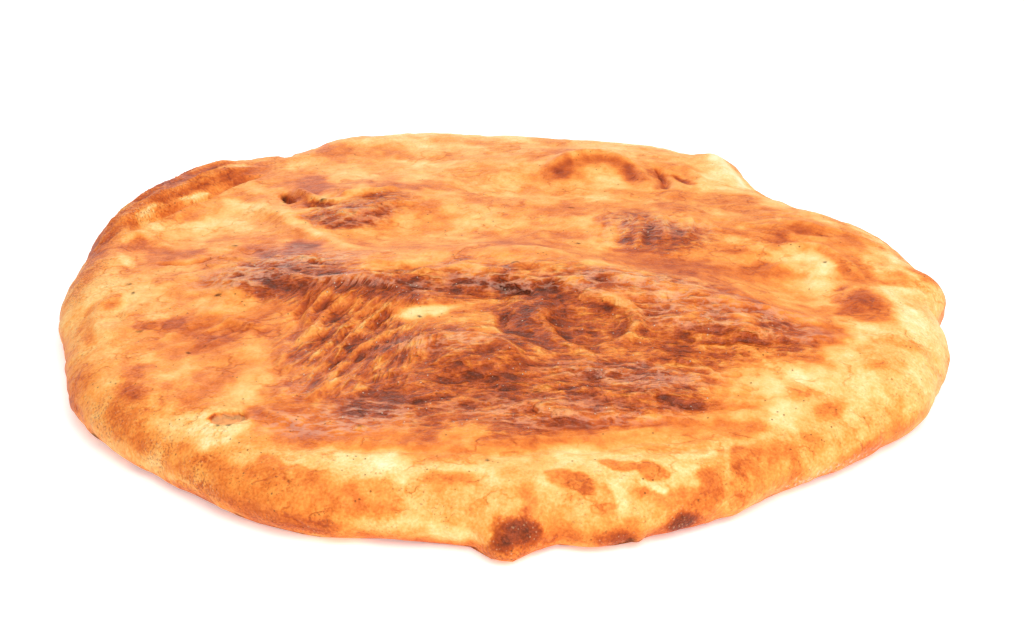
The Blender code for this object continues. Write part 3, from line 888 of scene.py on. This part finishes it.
bead = {                                   # the burnt bead of dough at the front foot
    "place": (271.3, 0.22, 2.7, 0.18),     # angle, height share, half angle, half height
    "foot": 0.52,
    "topDarker": 0.34,
    "mottle": 0.12,
}

fan = {                                    # folds that spread from a point behind the crest
    "pivot": (0.00, 0.12),
    "reach": 0.060,
    "oval": (-0.34, -0.38, 0.20, 0.24, 10),
}

# Burnt specks, and small holes whose shade is painted in the same char colour: place and radius in
# millimetres.
specks = [
    (-0.622, -0.17, 0.8), (-0.832, -0.075, 0.6), (-0.815, -0.118, 0.6), (-0.77, -0.302, 0.6),
    (-0.382, -0.274, 0.8), (-0.618, 0.1, 0.9), (-0.535, 0.395, 1.1), (-0.545, 0.44, 1.0),
    (0.155, 0.318, 0.7), (0.163, 0.072, 0.6), (-0.276, -0.712, 0.7), (-0.03, -0.82, 0.6),
    (-0.552, -0.69, 0.7), (-0.53, -0.693, 0.9), (-0.652, -0.405, 0.6), (0.715, 0.012, 0.6),
    (-0.44, 0.335, 0.8), (-0.7, 0.01, 0.8), (-0.18, -0.305, 0.5), (0.02, -0.15, 0.6),
]

# Char along the foot: angle, height share, half angle, half height.
charredFoot = [
    (213, 0.08, 0.9, 0.05), (218, 0.06, 0.6, 0.03), (222, 0.05, 0.5, 0.03), (238, 0.06, 0.6, 0.03),
    (284.0, 0.07, 0.9, 0.04), (285.5, 0.05, 0.6, 0.03), (304, 0.03, 0.8, 0.03),
]

# Painted sheen: places where pale reflections are painted on the glazed skin: oval, how much.
paintedSheenPatches = [
    ((-0.5, -0.08, 0.18, 0.06, 8), 1.0), ((-0.3, -0.175, 0.16, 0.03, -10), 0.8),
    ((0.02, -0.19, 0.2, 0.035, -6), 0.9), ((0.26, -0.22, 0.22, 0.05, -8), 0.8),
    ((0.45, -0.29, 0.2, 0.05, 0), 0.8), ((-0.32, -0.68, 0.16, 0.06, 0), 0.9),
    ((0.26, -0.52, 0.2, 0.05, 0), 0.7), ((0.1, -0.65, 0.26, 0.05, 0), 0.6),
    ((-0.12, -0.43, 0.12, 0.03, 10), 0.7), ((-0.36, 0.27, 0.12, 0.06, 0), 0.5),
    ((0.36, 0.18, 0.12, 0.06, 0), 0.5), ((0.6, -0.36, 0.1, 0.04, 0), 0.6),
    ((-0.48, 0.04, 0.08, 0.05, 0), 0.6),
]

# Rough, scabby places of the wall: angle, height share, half angle, half height.
scabs = [
    (271.2, 0.18, 3.2, 0.2), (290.5, 0.18, 3.0, 0.12), (282.0, 0.12, 3.0, 0.1), (217, 0.34, 5.0, 0.16),
    (226, 0.3, 3.0, 0.14), (234, 0.26, 4.0, 0.14), (245, 0.12, 6.0, 0.08), (158, 0.55, 16.0, 0.3),
    (178, 0.45, 8.0, 0.22), (304, 0.12, 5.0, 0.08),
]

# Flour left on the foot: angle, height share, half angle, half height.
flourPatches = [
    (312, 0.12, 12, 0.09), (200, 0.06, 12, 0.06),
    (340, 0.06, 10, 0.1), (20, 0.08, 30, 0.08), (90, 0.06, 40, 0.08), (160, 0.06, 30, 0.08),
]


def streaks(points, size, seed):           # drawn out along the rim near it, sideways elsewhere
    across = points[:, 0] / halfWidth
    back = points[:, 1] / halfDepth
    reach = np.hypot(across, back)
    stretch = 3.5
    ringPlaces = np.stack([across / reach * halfWidth / stretch, back / reach * halfWidth / stretch,
                           reach * halfWidth + points[:, 2]], axis=1)
    flatPlaces = np.stack([points[:, 0] / 1.6, points[:, 1], points[:, 2]], axis=1)
    edge = ease(0.62, 0.86, reach)
    ring = layeredNoise(ringPlaces, size, 3, seed)
    return edge * ring + (1.0 - edge) * layeredNoise(flatPlaces, size, 3, seed + 4)


def crumpledBlotch(points, size):          # blotches with one sharp side
    bent = points.copy()
    bent[:, 0] += 0.5 * size * latticeNoise(points, size * 1.4, 58)
    bent[:, 1] += 0.5 * size * latticeNoise(points, size * 1.4, 59)
    value = layeredNoise(bent, size, 3, 55)
    return np.where(value > 0.0, np.sqrt(np.maximum(value, 0.0)), value) - 0.15


def raggedPlaces(points, raised):          # places with a wander, so that no patch has a clean edge
    across = points[:, 0] / halfWidth
    back = (points[:, 1] + raised * baking["lean"]) / halfDepth
    angle = anglesRound(points)
    height = points[:, 2] / breadHeight
    for number, (size, shift) in enumerate(baking["raggedEdge"]):
        across = across + shift * latticeNoise(points, size, 61 + number)
        back = back + shift * latticeNoise(points, size, 71 + number)
        angle = angle + 60.0 * shift * latticeNoise(points, size, 81 + number)
        height = height + 1.5 * shift * latticeNoise(points, size, 91 + number)
    return across, back, angle, height


def bakeTowards(level, mask, baked):
    level += mask * (baked - level)


def bakePatches(level, across, back, patches, edge):
    for oval, baked, cover in patches:
        bakeTowards(level, cover * within(ovalDistance(across, back, oval), *edge), baked)


def bakedTop(points, across, back):
    cloudSize, cloudStrength = baking["cloud"]
    level = baking["ground"] + cloudStrength * layeredNoise(points, cloudSize, 3, 41)
    bakePatches(level, across, back, bakedPatches, baking["softEdge"])
    for halfBreadth, baked, cover, run in bakedStreaks:
        gap, share = strokeDistance(across, back, smoothRun(run))
        mask = cover * within(gap, 0.4 * halfBreadth, 1.5 * halfBreadth)
        mask *= ease(-0.02, 0.15, share) * ease(-0.02, 0.15, 1.0 - share)
        bakeTowards(level, mask, baked)
    bakePatches(level, across, back, latePatches, baking["softEdge"])
    bakePatches(level, across, back, crispPatches, baking["crispEdge"])
    return level


def bakedWall(points, angle, height):
    cloudSize, cloudStrength = baking["wallCloud"]
    level = baking["wall"] + cloudStrength * layeredNoise(points, cloudSize, 3, 45)
    for blotch in wallBlotches:
        bakeTowards(level, 0.9 * within(wallDistance(angle, height, blotch), 0.6, 1.3), blotch[4])
    return level


def bakeBead(level, points, angle, height, under):
    angle = angle + 0.8 * layeredNoise(points, 0.0035, 2, 78)
    nearHeight = height + 0.04 * layeredNoise(points, 0.0030, 2, 79)
    mask = within(wallDistance(angle, nearHeight, bead["place"]), 0.55, 1.20) * (1.0 - under)
    baked = bead["foot"] + bead["topDarker"] * ease(0.12, 0.24, height)
    baked += bead["mottle"] * layeredNoise(points, 0.0025, 2, 77)
    bakeTowards(level, mask, baked)


def bakeBubble(level, across, back, zones):
    hole = ovalDistance(across, back, bubble["oval"])
    backShare = (back - bubble["oval"][1]) / bubble["oval"][3]
    # painted shade: the inside grows darker towards its back
    inside = baking["holeFront"] + baking["holeBackShade"] * ease(-0.5, 0.9, backShare)
    bakeTowards(level, zones["hole"], inside)
    # painted shade: a dark line along the bubble's back edge
    shadedBackEdge = np.exp(-((hole - 1.02) / 0.10) ** 2) * ease(-0.1, 0.5, backShare)
    bakeTowards(level, zones["upper"] * shadedBackEdge, baking["holeEdgeShade"])


def bakedLevel(points, places, zones):
    across, back, angle, height = places
    level = bakedTop(points, across, back)
    bakeTowards(level, zones["wall"], bakedWall(points, angle, height))
    foot = within(points[:, 2] / breadHeight, 0.02, 0.16) * (1.0 - zones["under"])
    bakeTowards(level, foot * baking["footCover"], baking["foot"])
    # painted shade and light: creases darker, proud ridges paler
    creased = np.clip(-baking["creaseShadeRidgeLight"] * zones["proud"], -0.10, 0.16)
    level += zones["upper"] * creased * ease(0.3, 0.6, level)
    size, strength = baking["blotch"]
    level += strength * crumpledBlotch(points, size)
    size, strength = baking["streak"]
    level += strength * streaks(points, size, 46)
    size, strength = baking["fleck"]
    level += strength * layeredNoise(points, size, 2, 47)
    size, strength = baking["undersideCloud"]
    underside = baking["underside"] + strength * layeredNoise(points, size, 3, 49)
    bakeTowards(level, zones["under"], underside)
    bakeBead(level, points, angle, height, zones["under"])
    bakeBubble(level, points[:, 0] / halfWidth, points[:, 1] / halfDepth, zones)
    return level


def strongest(size, masks):                # the strongest of some masks at each point
    total = np.zeros(size)
    for mask in masks:
        total = np.maximum(total, mask)
    return total


def speckMasks(points):
    for across, back, radius in specks:
        gap = np.hypot(points[:, 0] - across * halfWidth, points[:, 1] - back * halfDepth)
        yield within(gap, 0.5 * millimetre * radius, 1.3 * millimetre * radius)


def wallMasks(angle, height, patches, full, none):
    for patch in patches:
        yield within(wallDistance(angle, height, patch), full, none)


def bakeCrust(piece, zones):
    mesh = piece.data
    points = pointsOf(mesh)
    count = len(points)
    upper = zones["upper"]
    under = zones["under"]
    places = raggedPlaces(points, zones["raised"])
    across, back, angle, height = places
    reach = np.hypot(points[:, 0] / halfWidth, points[:, 1] / halfDepth)
    level = bakedLevel(points, places, zones)
    softLevel = evened(level, edgesOf(mesh), 20)
    glaze = glazeArea(across, back) * ease(0.30, 0.62, softLevel)
    glaze = np.maximum(glaze, 0.35 * ease(0.50, 0.80, softLevel)) * upper * (1.0 - zones["hole"])
    charred = strongest(count, wallMasks(angle, height, charredFoot, 0.5, 1.2))
    # the speck masks hold real char and the painted shade of small holes
    burnt = np.maximum(upper * strongest(count, speckMasks(points)), 0.7 * (1.0 - upper) * charred)
    floured = strongest(count, wallMasks(angle, height, flourPatches, 0.3, 1.3))
    flour = np.maximum((1.0 - upper) * floured, 0.55 * under)
    grit = np.clip(ease(0.70, 0.95, reach) + zones["wall"], 0.0, 1.0)
    # painted sheen: where pale reflections are painted on the glazed skin
    sheen = strongest(count, (amount * within(ovalDistance(across, back, oval), 0.5, 1.3)
                              for oval, amount in paintedSheenPatches))
    scabby = strongest(count, wallMasks(angle, height, scabs, 0.5, 1.3))
    fromPivot = points[:, :2] - np.array(fan["pivot"]) * (halfWidth, halfDepth)
    turn = np.arctan2(fromPivot[:, 1], fromPivot[:, 0])
    turn = np.where(turn > 0.0, turn - 2.0 * math.pi, turn)
    looks = {
        "bakeLevel": np.clip(level, 0.0, 1.0),
        "glaze": glaze,
        "burnt": burnt,
        "flour": flour,
        "grit": np.maximum(0.3, np.maximum(grit, under)),
        "sheen": sheen * upper,
        "scab": scabby * (1.0 - under) * ease(0.88, 0.94, reach),
        "torn": zones["hole"] * upper,
        "fan": within(ovalDistance(across, back, fan["oval"]), 0.75, 1.1),
        "fanAlong": np.hypot(fromPivot[:, 0], fromPivot[:, 1]),
        "fanAside": turn * fan["reach"],
    }
    for name, values in looks.items():
        store(mesh, name, values)


# Materials.

class Wire:                                # a socket that can be used in plain sums
    def __init__(self, recipe, socket):
        self.recipe = recipe
        self.socket = socket

    def sum(self, operation, first, second):
        return self.recipe.node("ShaderNodeMath", {"operation": operation}, {0: first, 1: second})

    def __add__(self, other):
        return self.sum("ADD", self, other)

    def __sub__(self, other):
        return self.sum("SUBTRACT", self, other)

    def __rsub__(self, other):
        return self.sum("SUBTRACT", other, self)

    def __mul__(self, other):
        return self.sum("MULTIPLY", self, other)

    __radd__ = __add__
    __rmul__ = __mul__


class Recipe:                              # the nodes of one material or of the room
    def __init__(self, owner):
        owner.use_nodes = True
        self.tree = owner.node_tree

    def node(self, kind, settings=None, sockets=None, out=0):
        made = self.tree.nodes.new(kind)
        for name, value in (settings or {}).items():
            if name == "stops":
                self.setStops(made.color_ramp, value)
            else:
                setattr(made, name, value)
        self.fill(made, sockets or {})
        return Wire(self, made.outputs[out])

    def fill(self, made, sockets):         # links wires to a node's sockets and sets plain values
        for name, value in sockets.items():
            if isinstance(value, Wire):
                self.tree.links.new(value.socket, made.inputs[name])
            else:
                made.inputs[name].default_value = value

    def setStops(self, ramp, stops):
        while len(ramp.elements) < len(stops):
            ramp.elements.new(0.5)
        for element, (place, tone) in zip(ramp.elements, stops):
            element.position = place
            element.color = tone

    def attribute(self, name):
        return self.node("ShaderNodeAttribute", {"attribute_name": name}, out="Fac")

    def noiseAt(self, place, size, detail):
        return self.node("ShaderNodeTexNoise", {},
                         {"Vector": place, "Scale": 1.0 / size, "Detail": detail})

    def noise(self, size, detail=2.0, stretch=(1.0, 1.0, 1.0)):
        where = self.node("ShaderNodeTexCoord", out="Object")
        drawn = self.node("ShaderNodeVectorMath", {"operation": "MULTIPLY"}, {0: where, 1: stretch})
        return self.noiseAt(drawn, size, detail)

    def step(self, value, low, high):      # 0 below low, 1 above high
        return self.node("ShaderNodeMapRange", {"interpolation_type": "SMOOTHSTEP"},
                         {"Value": value, "From Min": low, "From Max": high})

    def patches(self, size, detail, low, high):   # scattered patches of a noise
        return self.step(self.noise(size, detail), low, high)

    def fromMiddle(self, value):
        return self.node("ShaderNodeMath", {"operation": "ABSOLUTE"}, {0: value - 0.5})

    def threads(self, value):              # thin meandering lines where a noise crosses its middle
        return 1.0 - self.step(self.fromMiddle(value), 0.0, 0.035)

    def ridge(self, value, reach):         # a sharp ridge where a noise crosses its middle
        away = self.fromMiddle(value)
        return 1.0 - self.node("ShaderNodeMapRange", {},
                               {"Value": away, "From Min": 0.0, "From Max": reach})

    def dots(self, spacing, radius):       # small scattered dots, 1 inside
        where = self.node("ShaderNodeTexCoord", out="Object")
        near = self.node("ShaderNodeTexVoronoi", {"feature": "F1"},
                         {"Vector": where, "Scale": 1.0 / spacing}, out="Distance")
        return 1.0 - self.step(near, radius * 0.5, radius)

    def mixed(self, share, first, second):
        return first + (second - first) * share

    def blend(self, share, first, second):
        return self.node("ShaderNodeMix", {"data_type": "RGBA", "clamp_factor": True},
                         {0: share, 6: first, 7: second}, out=2)


def colour(code):                          # "#RRGGBB" as seen, to the light values Blender mixes
    parts = [int(code[i:i + 2], 16) / 255.0 for i in (1, 3, 5)]
    return tuple(p / 12.92 if p <= 0.04045 else ((p + 0.055) / 1.055) ** 2.4 for p in parts) + (1.0,)


crustLook = {
    "colours": [                           # from pale dough to almost burnt
        (0.00, "#FFEEC0"), (0.12, "#FFDC98"), (0.25, "#FBC06E"), (0.38, "#F79D43"), (0.50, "#E67B2A"),
        (0.62, "#C95A14"), (0.74, "#A54009"), (0.86, "#7E3006"), (1.00, "#5A2205"),
    ],
    # colour, then how fully it covers the crust
    # painted sheen: a pale reflection colour
    "sheen": ("#E3B7A0", 0.42),
    "grit": ("#8A3C12", 0.55),
    "scab": ("#B0481A", 0.50),
    "crumbDust": ("#EFC090", 0.34),
    # painted shade: dark brown inside the small pores
    "poreShade": ("#7A3A14", 0.60),
    # painted glints: near-white dots standing in for highlights on the glaze
    "paintedGlint": ("#FFE9CF", 0.80),
    "crumb": ("#F2BC7C", 0.55),
    "flour": ("#FFF0DC", 0.45),
    # real char, and painted shade for small holes
    "charAndHoleShade": ("#160803", 1.00),
    # how much each unevenness changes how far the crust looks baked; the crease, wrinkle and crinkle
    # tones paint shade into hollows and light onto ridges, the line tone a painted highlight on raised
    # lines
    "mottleTone": 0.26,
    "fleckTone": 0.10,
    "gritTone": 0.22,                      # more flecks where the crust is gritty
    "creaseShadeTone": 0.09,
    "wrinkleShadeTone": 0.17,
    "crinkleShadeTone": 0.12,
    "lineHighlightTone": 0.05,
    "roughness": 0.50,
    "glazeSmoother": 0.20,
    "glazeCoat": 0.10,
    "coatRoughness": 0.18,
    "gloss": 0.30,
    "ior": 1.44,
    "bumpHeight": 0.00055,
}

wrinkleLook = {                            # size, size in the fan of folds, detail, stretch sideways
    "wrinkle": (0.0036, 0.0026, 2.0, (0.34, 1.0, 1.0)),
    "crinkle": (0.0017, 0.0013, 2.0, (0.40, 1.0, 1.0)),
    "line": (0.0052, 0.0034, 3.0, (0.35, 1.0, 1.0)),
    "wrinkleReach": 0.13,
    "crinkleReach": 0.15,
    "fanStretch": 0.22,
}

grain = {                                  # size in metres, then detail
    "mottle": (0.0030, 5.0),
    "fleck": (0.0008, 3.0),
    "crease": (0.0075, 3.0, (0.7, 1.0, 1.0)),
    "dust": (0.0011, 5.0),
    "pitted": (0.0018, 5.0),
}

scatter = {                                # size, detail, then where a patch starts and is full
    "creased": (0.016, 2.0, 0.46, 0.58),
    "brownGrain": (0.0007, 4.0, 0.56, 0.70),
    "brown": (0.008, 3.0, 0.42, 0.62),
    "cracks": (0.0007, 3.0, 0.50, 0.62),
    "crumbly": (0.0025, 3.0, 0.44, 0.58),
    "shadedPoreArea": (0.010, 2.0, 0.46, 0.56),
    "paintedGlintPatches": (0.006, 2.0, 0.46, 0.58),
}

dotted = {                                 # spacing in metres, then radius as a share of it
    "crumbs": (0.0010, 0.34),
    "shadedPores": (0.0026, 0.13),
    "paintedGlints": (0.0019, 0.15),
}

relief = {                                 # how high each kind stands out, as shares of bumpHeight
    "pitted": 0.90, "fleck": 0.45, "shadedPores": -0.50, "dust": 0.25,
    "wrinkle": 1.10, "crinkle": 0.55, "line": 0.30, "glazedFleck": 0.40,
    "paintedGlints": 0.60, "scab": 0.60, "creases": -0.35,
}


def makeCrustMaterial():
    material = bpy.data.materials.new("bakedCrust")
    recipe = Recipe(material)
    shader = recipe.tree.nodes["Principled BSDF"]
    look = crustLook
    glaze = recipe.attribute("glaze")
    flour = recipe.attribute("flour")
    burnt = recipe.attribute("burnt")
    grit = recipe.attribute("grit")
    scab = recipe.attribute("scab")
    fanShare = recipe.attribute("fan")
    fanAlong = recipe.attribute("fanAlong") * wrinkleLook["fanStretch"]
    fanAside = recipe.attribute("fanAside")
    fanPlace = recipe.node("ShaderNodeCombineXYZ", {}, {"X": fanAlong, "Y": fanAside})

    def fanned(name, shape):               # one kind of wrinkle, which follows the fan inside it
        size, fanSize, detail, stretch = wrinkleLook[name]
        sideways = shape(recipe.noise(size, detail, stretch))
        return recipe.mixed(fanShare, sideways, shape(recipe.noiseAt(fanPlace, fanSize, detail)))

    def covered(under, mask, name):
        code, cover = look[name]
        return recipe.blend(mask * cover, under, colour(code))

    wrinkle = fanned("wrinkle", lambda value: recipe.ridge(value, wrinkleLook["wrinkleReach"]))
    crinkle = fanned("crinkle", lambda value: recipe.ridge(value, wrinkleLook["crinkleReach"]))
    lines = recipe.threads(fanned("line", lambda value: value))
    mottle = recipe.noise(*grain["mottle"])
    fleck = recipe.noise(*grain["fleck"])
    creases = recipe.threads(recipe.noise(*grain["crease"])) * recipe.patches(*scatter["creased"])

    # painted shade: the thin crease lines are darkened as well as pressed in
    level = recipe.attribute("bakeLevel") + creases * look["creaseShadeTone"]
    level = level + (mottle - 0.5) * look["mottleTone"]
    level = level + (fleck - 0.5) * (grit * look["gritTone"] + look["fleckTone"])
    # painted shade and highlight: wrinkle and crinkle valleys darker, ridges paler, raised lines paler
    level = level + (0.42 - wrinkle) * glaze * look["wrinkleShadeTone"]
    level = level + (0.42 - crinkle) * glaze * look["crinkleShadeTone"]
    level = level - lines * glaze * look["lineHighlightTone"]
    stops = [(place, colour(code)) for place, code in look["colours"]]
    skin = recipe.node("ShaderNodeValToRGB", {"stops": stops}, {"Fac": level})

    # painted sheen: pale reflection colour laid on the wrinkle ridges inside the painted sheen places
    paintedSheenOnRidges = recipe.step(wrinkle * 0.6 + crinkle * 0.6 + (fleck - 0.5), 0.40, 0.95)
    skin = covered(skin, paintedSheenOnRidges * recipe.attribute("sheen"), "sheen")
    brownGrain = recipe.patches(*scatter["brownGrain"]) * recipe.patches(*scatter["brown"])
    skin = covered(skin, brownGrain * grit, "grit")
    skin = covered(skin, recipe.patches(*scatter["cracks"]) * scab, "scab")
    crumbs = recipe.dots(*dotted["crumbs"]) * recipe.patches(*scatter["crumbly"])
    skin = covered(skin, crumbs * scab, "crumbDust")
    # painted shade inside small pores, which the bump also presses in
    shadedPores = recipe.dots(*dotted["shadedPores"]) * recipe.patches(*scatter["shadedPoreArea"])
    skin = covered(skin, shadedPores, "poreShade")
    # painted glints: near-white highlight dots on the glazed skin, also raised a little in the bump
    paintedGlints = recipe.dots(*dotted["paintedGlints"]) * recipe.patches(*scatter["paintedGlintPatches"])
    paintedGlints = paintedGlints * recipe.step(glaze, 0.3, 0.9)
    skin = covered(skin, paintedGlints, "paintedGlint")
    skin = covered(skin, recipe.step(recipe.attribute("torn"), 0.3, 0.8), "crumb")
    dust = recipe.step(recipe.noise(*grain["dust"]) + flour * 0.16, 0.64, 0.80)
    dust = dust * recipe.step(flour, 0.02, 0.6)
    skin = covered(skin, dust, "flour")
    # char colour: real char, and painted shade in small holes
    skin = covered(skin, burnt, "charAndHoleShade")

    height = recipe.noise(*grain["pitted"]) * relief["pitted"] + fleck * relief["fleck"]
    height = height + shadedPores * relief["shadedPores"] + dust * relief["dust"]
    glazed = wrinkle * relief["wrinkle"] + crinkle * relief["crinkle"]
    glazed = glazed + lines * relief["line"] + fleck * relief["glazedFleck"]
    height = height + glaze * glazed + paintedGlints * relief["paintedGlints"]
    height = height + scab * fleck * relief["scab"] + creases * relief["creases"]
    bump = recipe.node("ShaderNodeBump", {},
                       {"Strength": 1.0, "Distance": look["bumpHeight"], "Height": height})
    matt = look["roughness"] - glaze * look["glazeSmoother"]
    matt = matt + (fleck - 0.5) * 0.16 + dust * 0.3 + burnt * 0.4
    recipe.fill(shader, {
        "Base Color": skin,
        "Roughness": matt,
        "Coat Weight": glaze * look["glazeCoat"],
        "Coat Roughness": look["coatRoughness"],
        "IOR": look["ior"],
        "Specular IOR Level": look["gloss"],
        "Normal": bump,
    })
    return material


# Camera, light and table.

studio = {
    "cameraRise": 25.0,                    # degrees above the table
    "cameraDistance": 0.6186,
    "cameraLens": 70.0,
    "aim": (0.0134, 0.0722),               # shares of the half box, on the table
    "skyFront": 0.46,                      # strength of the sky behind the camera
    "skyBack": 0.74,                       # strength of the sky behind the bread
    "tableColour": "#FBF9F6",
    "tableRoughness": 0.75,
    "tableGlow": 0.34,
    "tableSize": 8.0,
    "tableDrop": 0.0002,                   # how far the table lies under the bread
}

lamps = {
    "frontLamp": {"place": (0.35, -0.70, 1.05), "size": 1.1, "power": 13.0},
    "backLamp": {"place": (-0.30, 0.95, 0.95), "size": 0.9, "power": 2.5},
    "rimLamp": {"place": (-0.35, 1.60, 0.42), "size": 0.7, "power": 1.5},
}


def placeCamera():
    data = bpy.data.cameras.new("camera")
    data.lens = studio["cameraLens"]
    data.dof.use_dof = False
    data.clip_start = 0.01
    data.clip_end = 50.0
    camera = bpy.data.objects.new("camera", data)
    bpy.context.scene.collection.objects.link(camera)
    rise = math.radians(studio["cameraRise"])
    towardsCamera = Vector((0.0, -math.cos(rise), math.sin(rise)))
    aim = Vector((studio["aim"][0] * halfWidth, studio["aim"][1] * halfDepth, 0.0))
    camera.location = aim + towardsCamera * studio["cameraDistance"]
    camera.rotation_euler = (-towardsCamera).to_track_quat("-Z", "Y").to_euler()
    bpy.context.scene.camera = camera


def hangLamp(name, lamp):
    data = bpy.data.lights.new(name, "AREA")
    data.shape = "DISK"
    data.size = lamp["size"]
    data.energy = lamp["power"]
    light = bpy.data.objects.new(name, data)
    bpy.context.scene.collection.objects.link(light)
    light.location = Vector(lamp["place"])
    light.rotation_euler = light.location.to_track_quat("Z", "Y").to_euler()


def lightRoom():
    world = bpy.data.worlds.new("studio")
    recipe = Recipe(world)
    direction = recipe.node("ShaderNodeTexCoord", out="Generated")
    towardsBack = recipe.node("ShaderNodeSeparateXYZ", {}, {"Vector": direction}, out="Y")
    strength = recipe.node("ShaderNodeMapRange", {}, {
        "Value": towardsBack, "From Min": -1.0,
        "To Min": studio["skyFront"], "To Max": studio["skyBack"],
    })
    recipe.fill(recipe.tree.nodes["Background"],
                {"Color": (1.0, 1.0, 1.0, 1.0), "Strength": strength})
    bpy.context.scene.world = world
    for name, lamp in lamps.items():
        hangLamp(name, lamp)
    bpy.context.scene.view_settings.view_transform = "Standard"


def makeTableMaterial():
    material = bpy.data.materials.new("paleTable")
    recipe = Recipe(material)
    recipe.fill(recipe.tree.nodes["Principled BSDF"], {
        "Base Color": colour(studio["tableColour"]),
        "Roughness": studio["tableRoughness"],
        "Emission Color": (1.0, 1.0, 1.0, 1.0),
        "Emission Strength": studio["tableGlow"],
    })
    return material


def layTable():
    bpy.ops.mesh.primitive_plane_add(size=studio["tableSize"],
                                     location=(0.0, 0.0, -studio["tableDrop"]))
    table = bpy.context.object
    table.name = "table"
    table.data.materials.append(makeTableMaterial())


# Bake it.

placeCamera()
lightRoom()
layTable()
print("table laid, camera and lamps placed")

crustPiece = makeSkin()
triangles = sum(len(face.vertices) - 2 for face in crustPiece.data.polygons)
print("skin:", len(crustPiece.data.vertices), "points,", triangles, "triangles")
zones = shapeCrust(crustPiece)
print("folds, blisters and wrinkles pressed in")
bakeCrust(crustPiece, zones)
crustPiece.data.materials.append(makeCrustMaterial())
print("crust baked")

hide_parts("flatbread")
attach(crustPiece, "root")
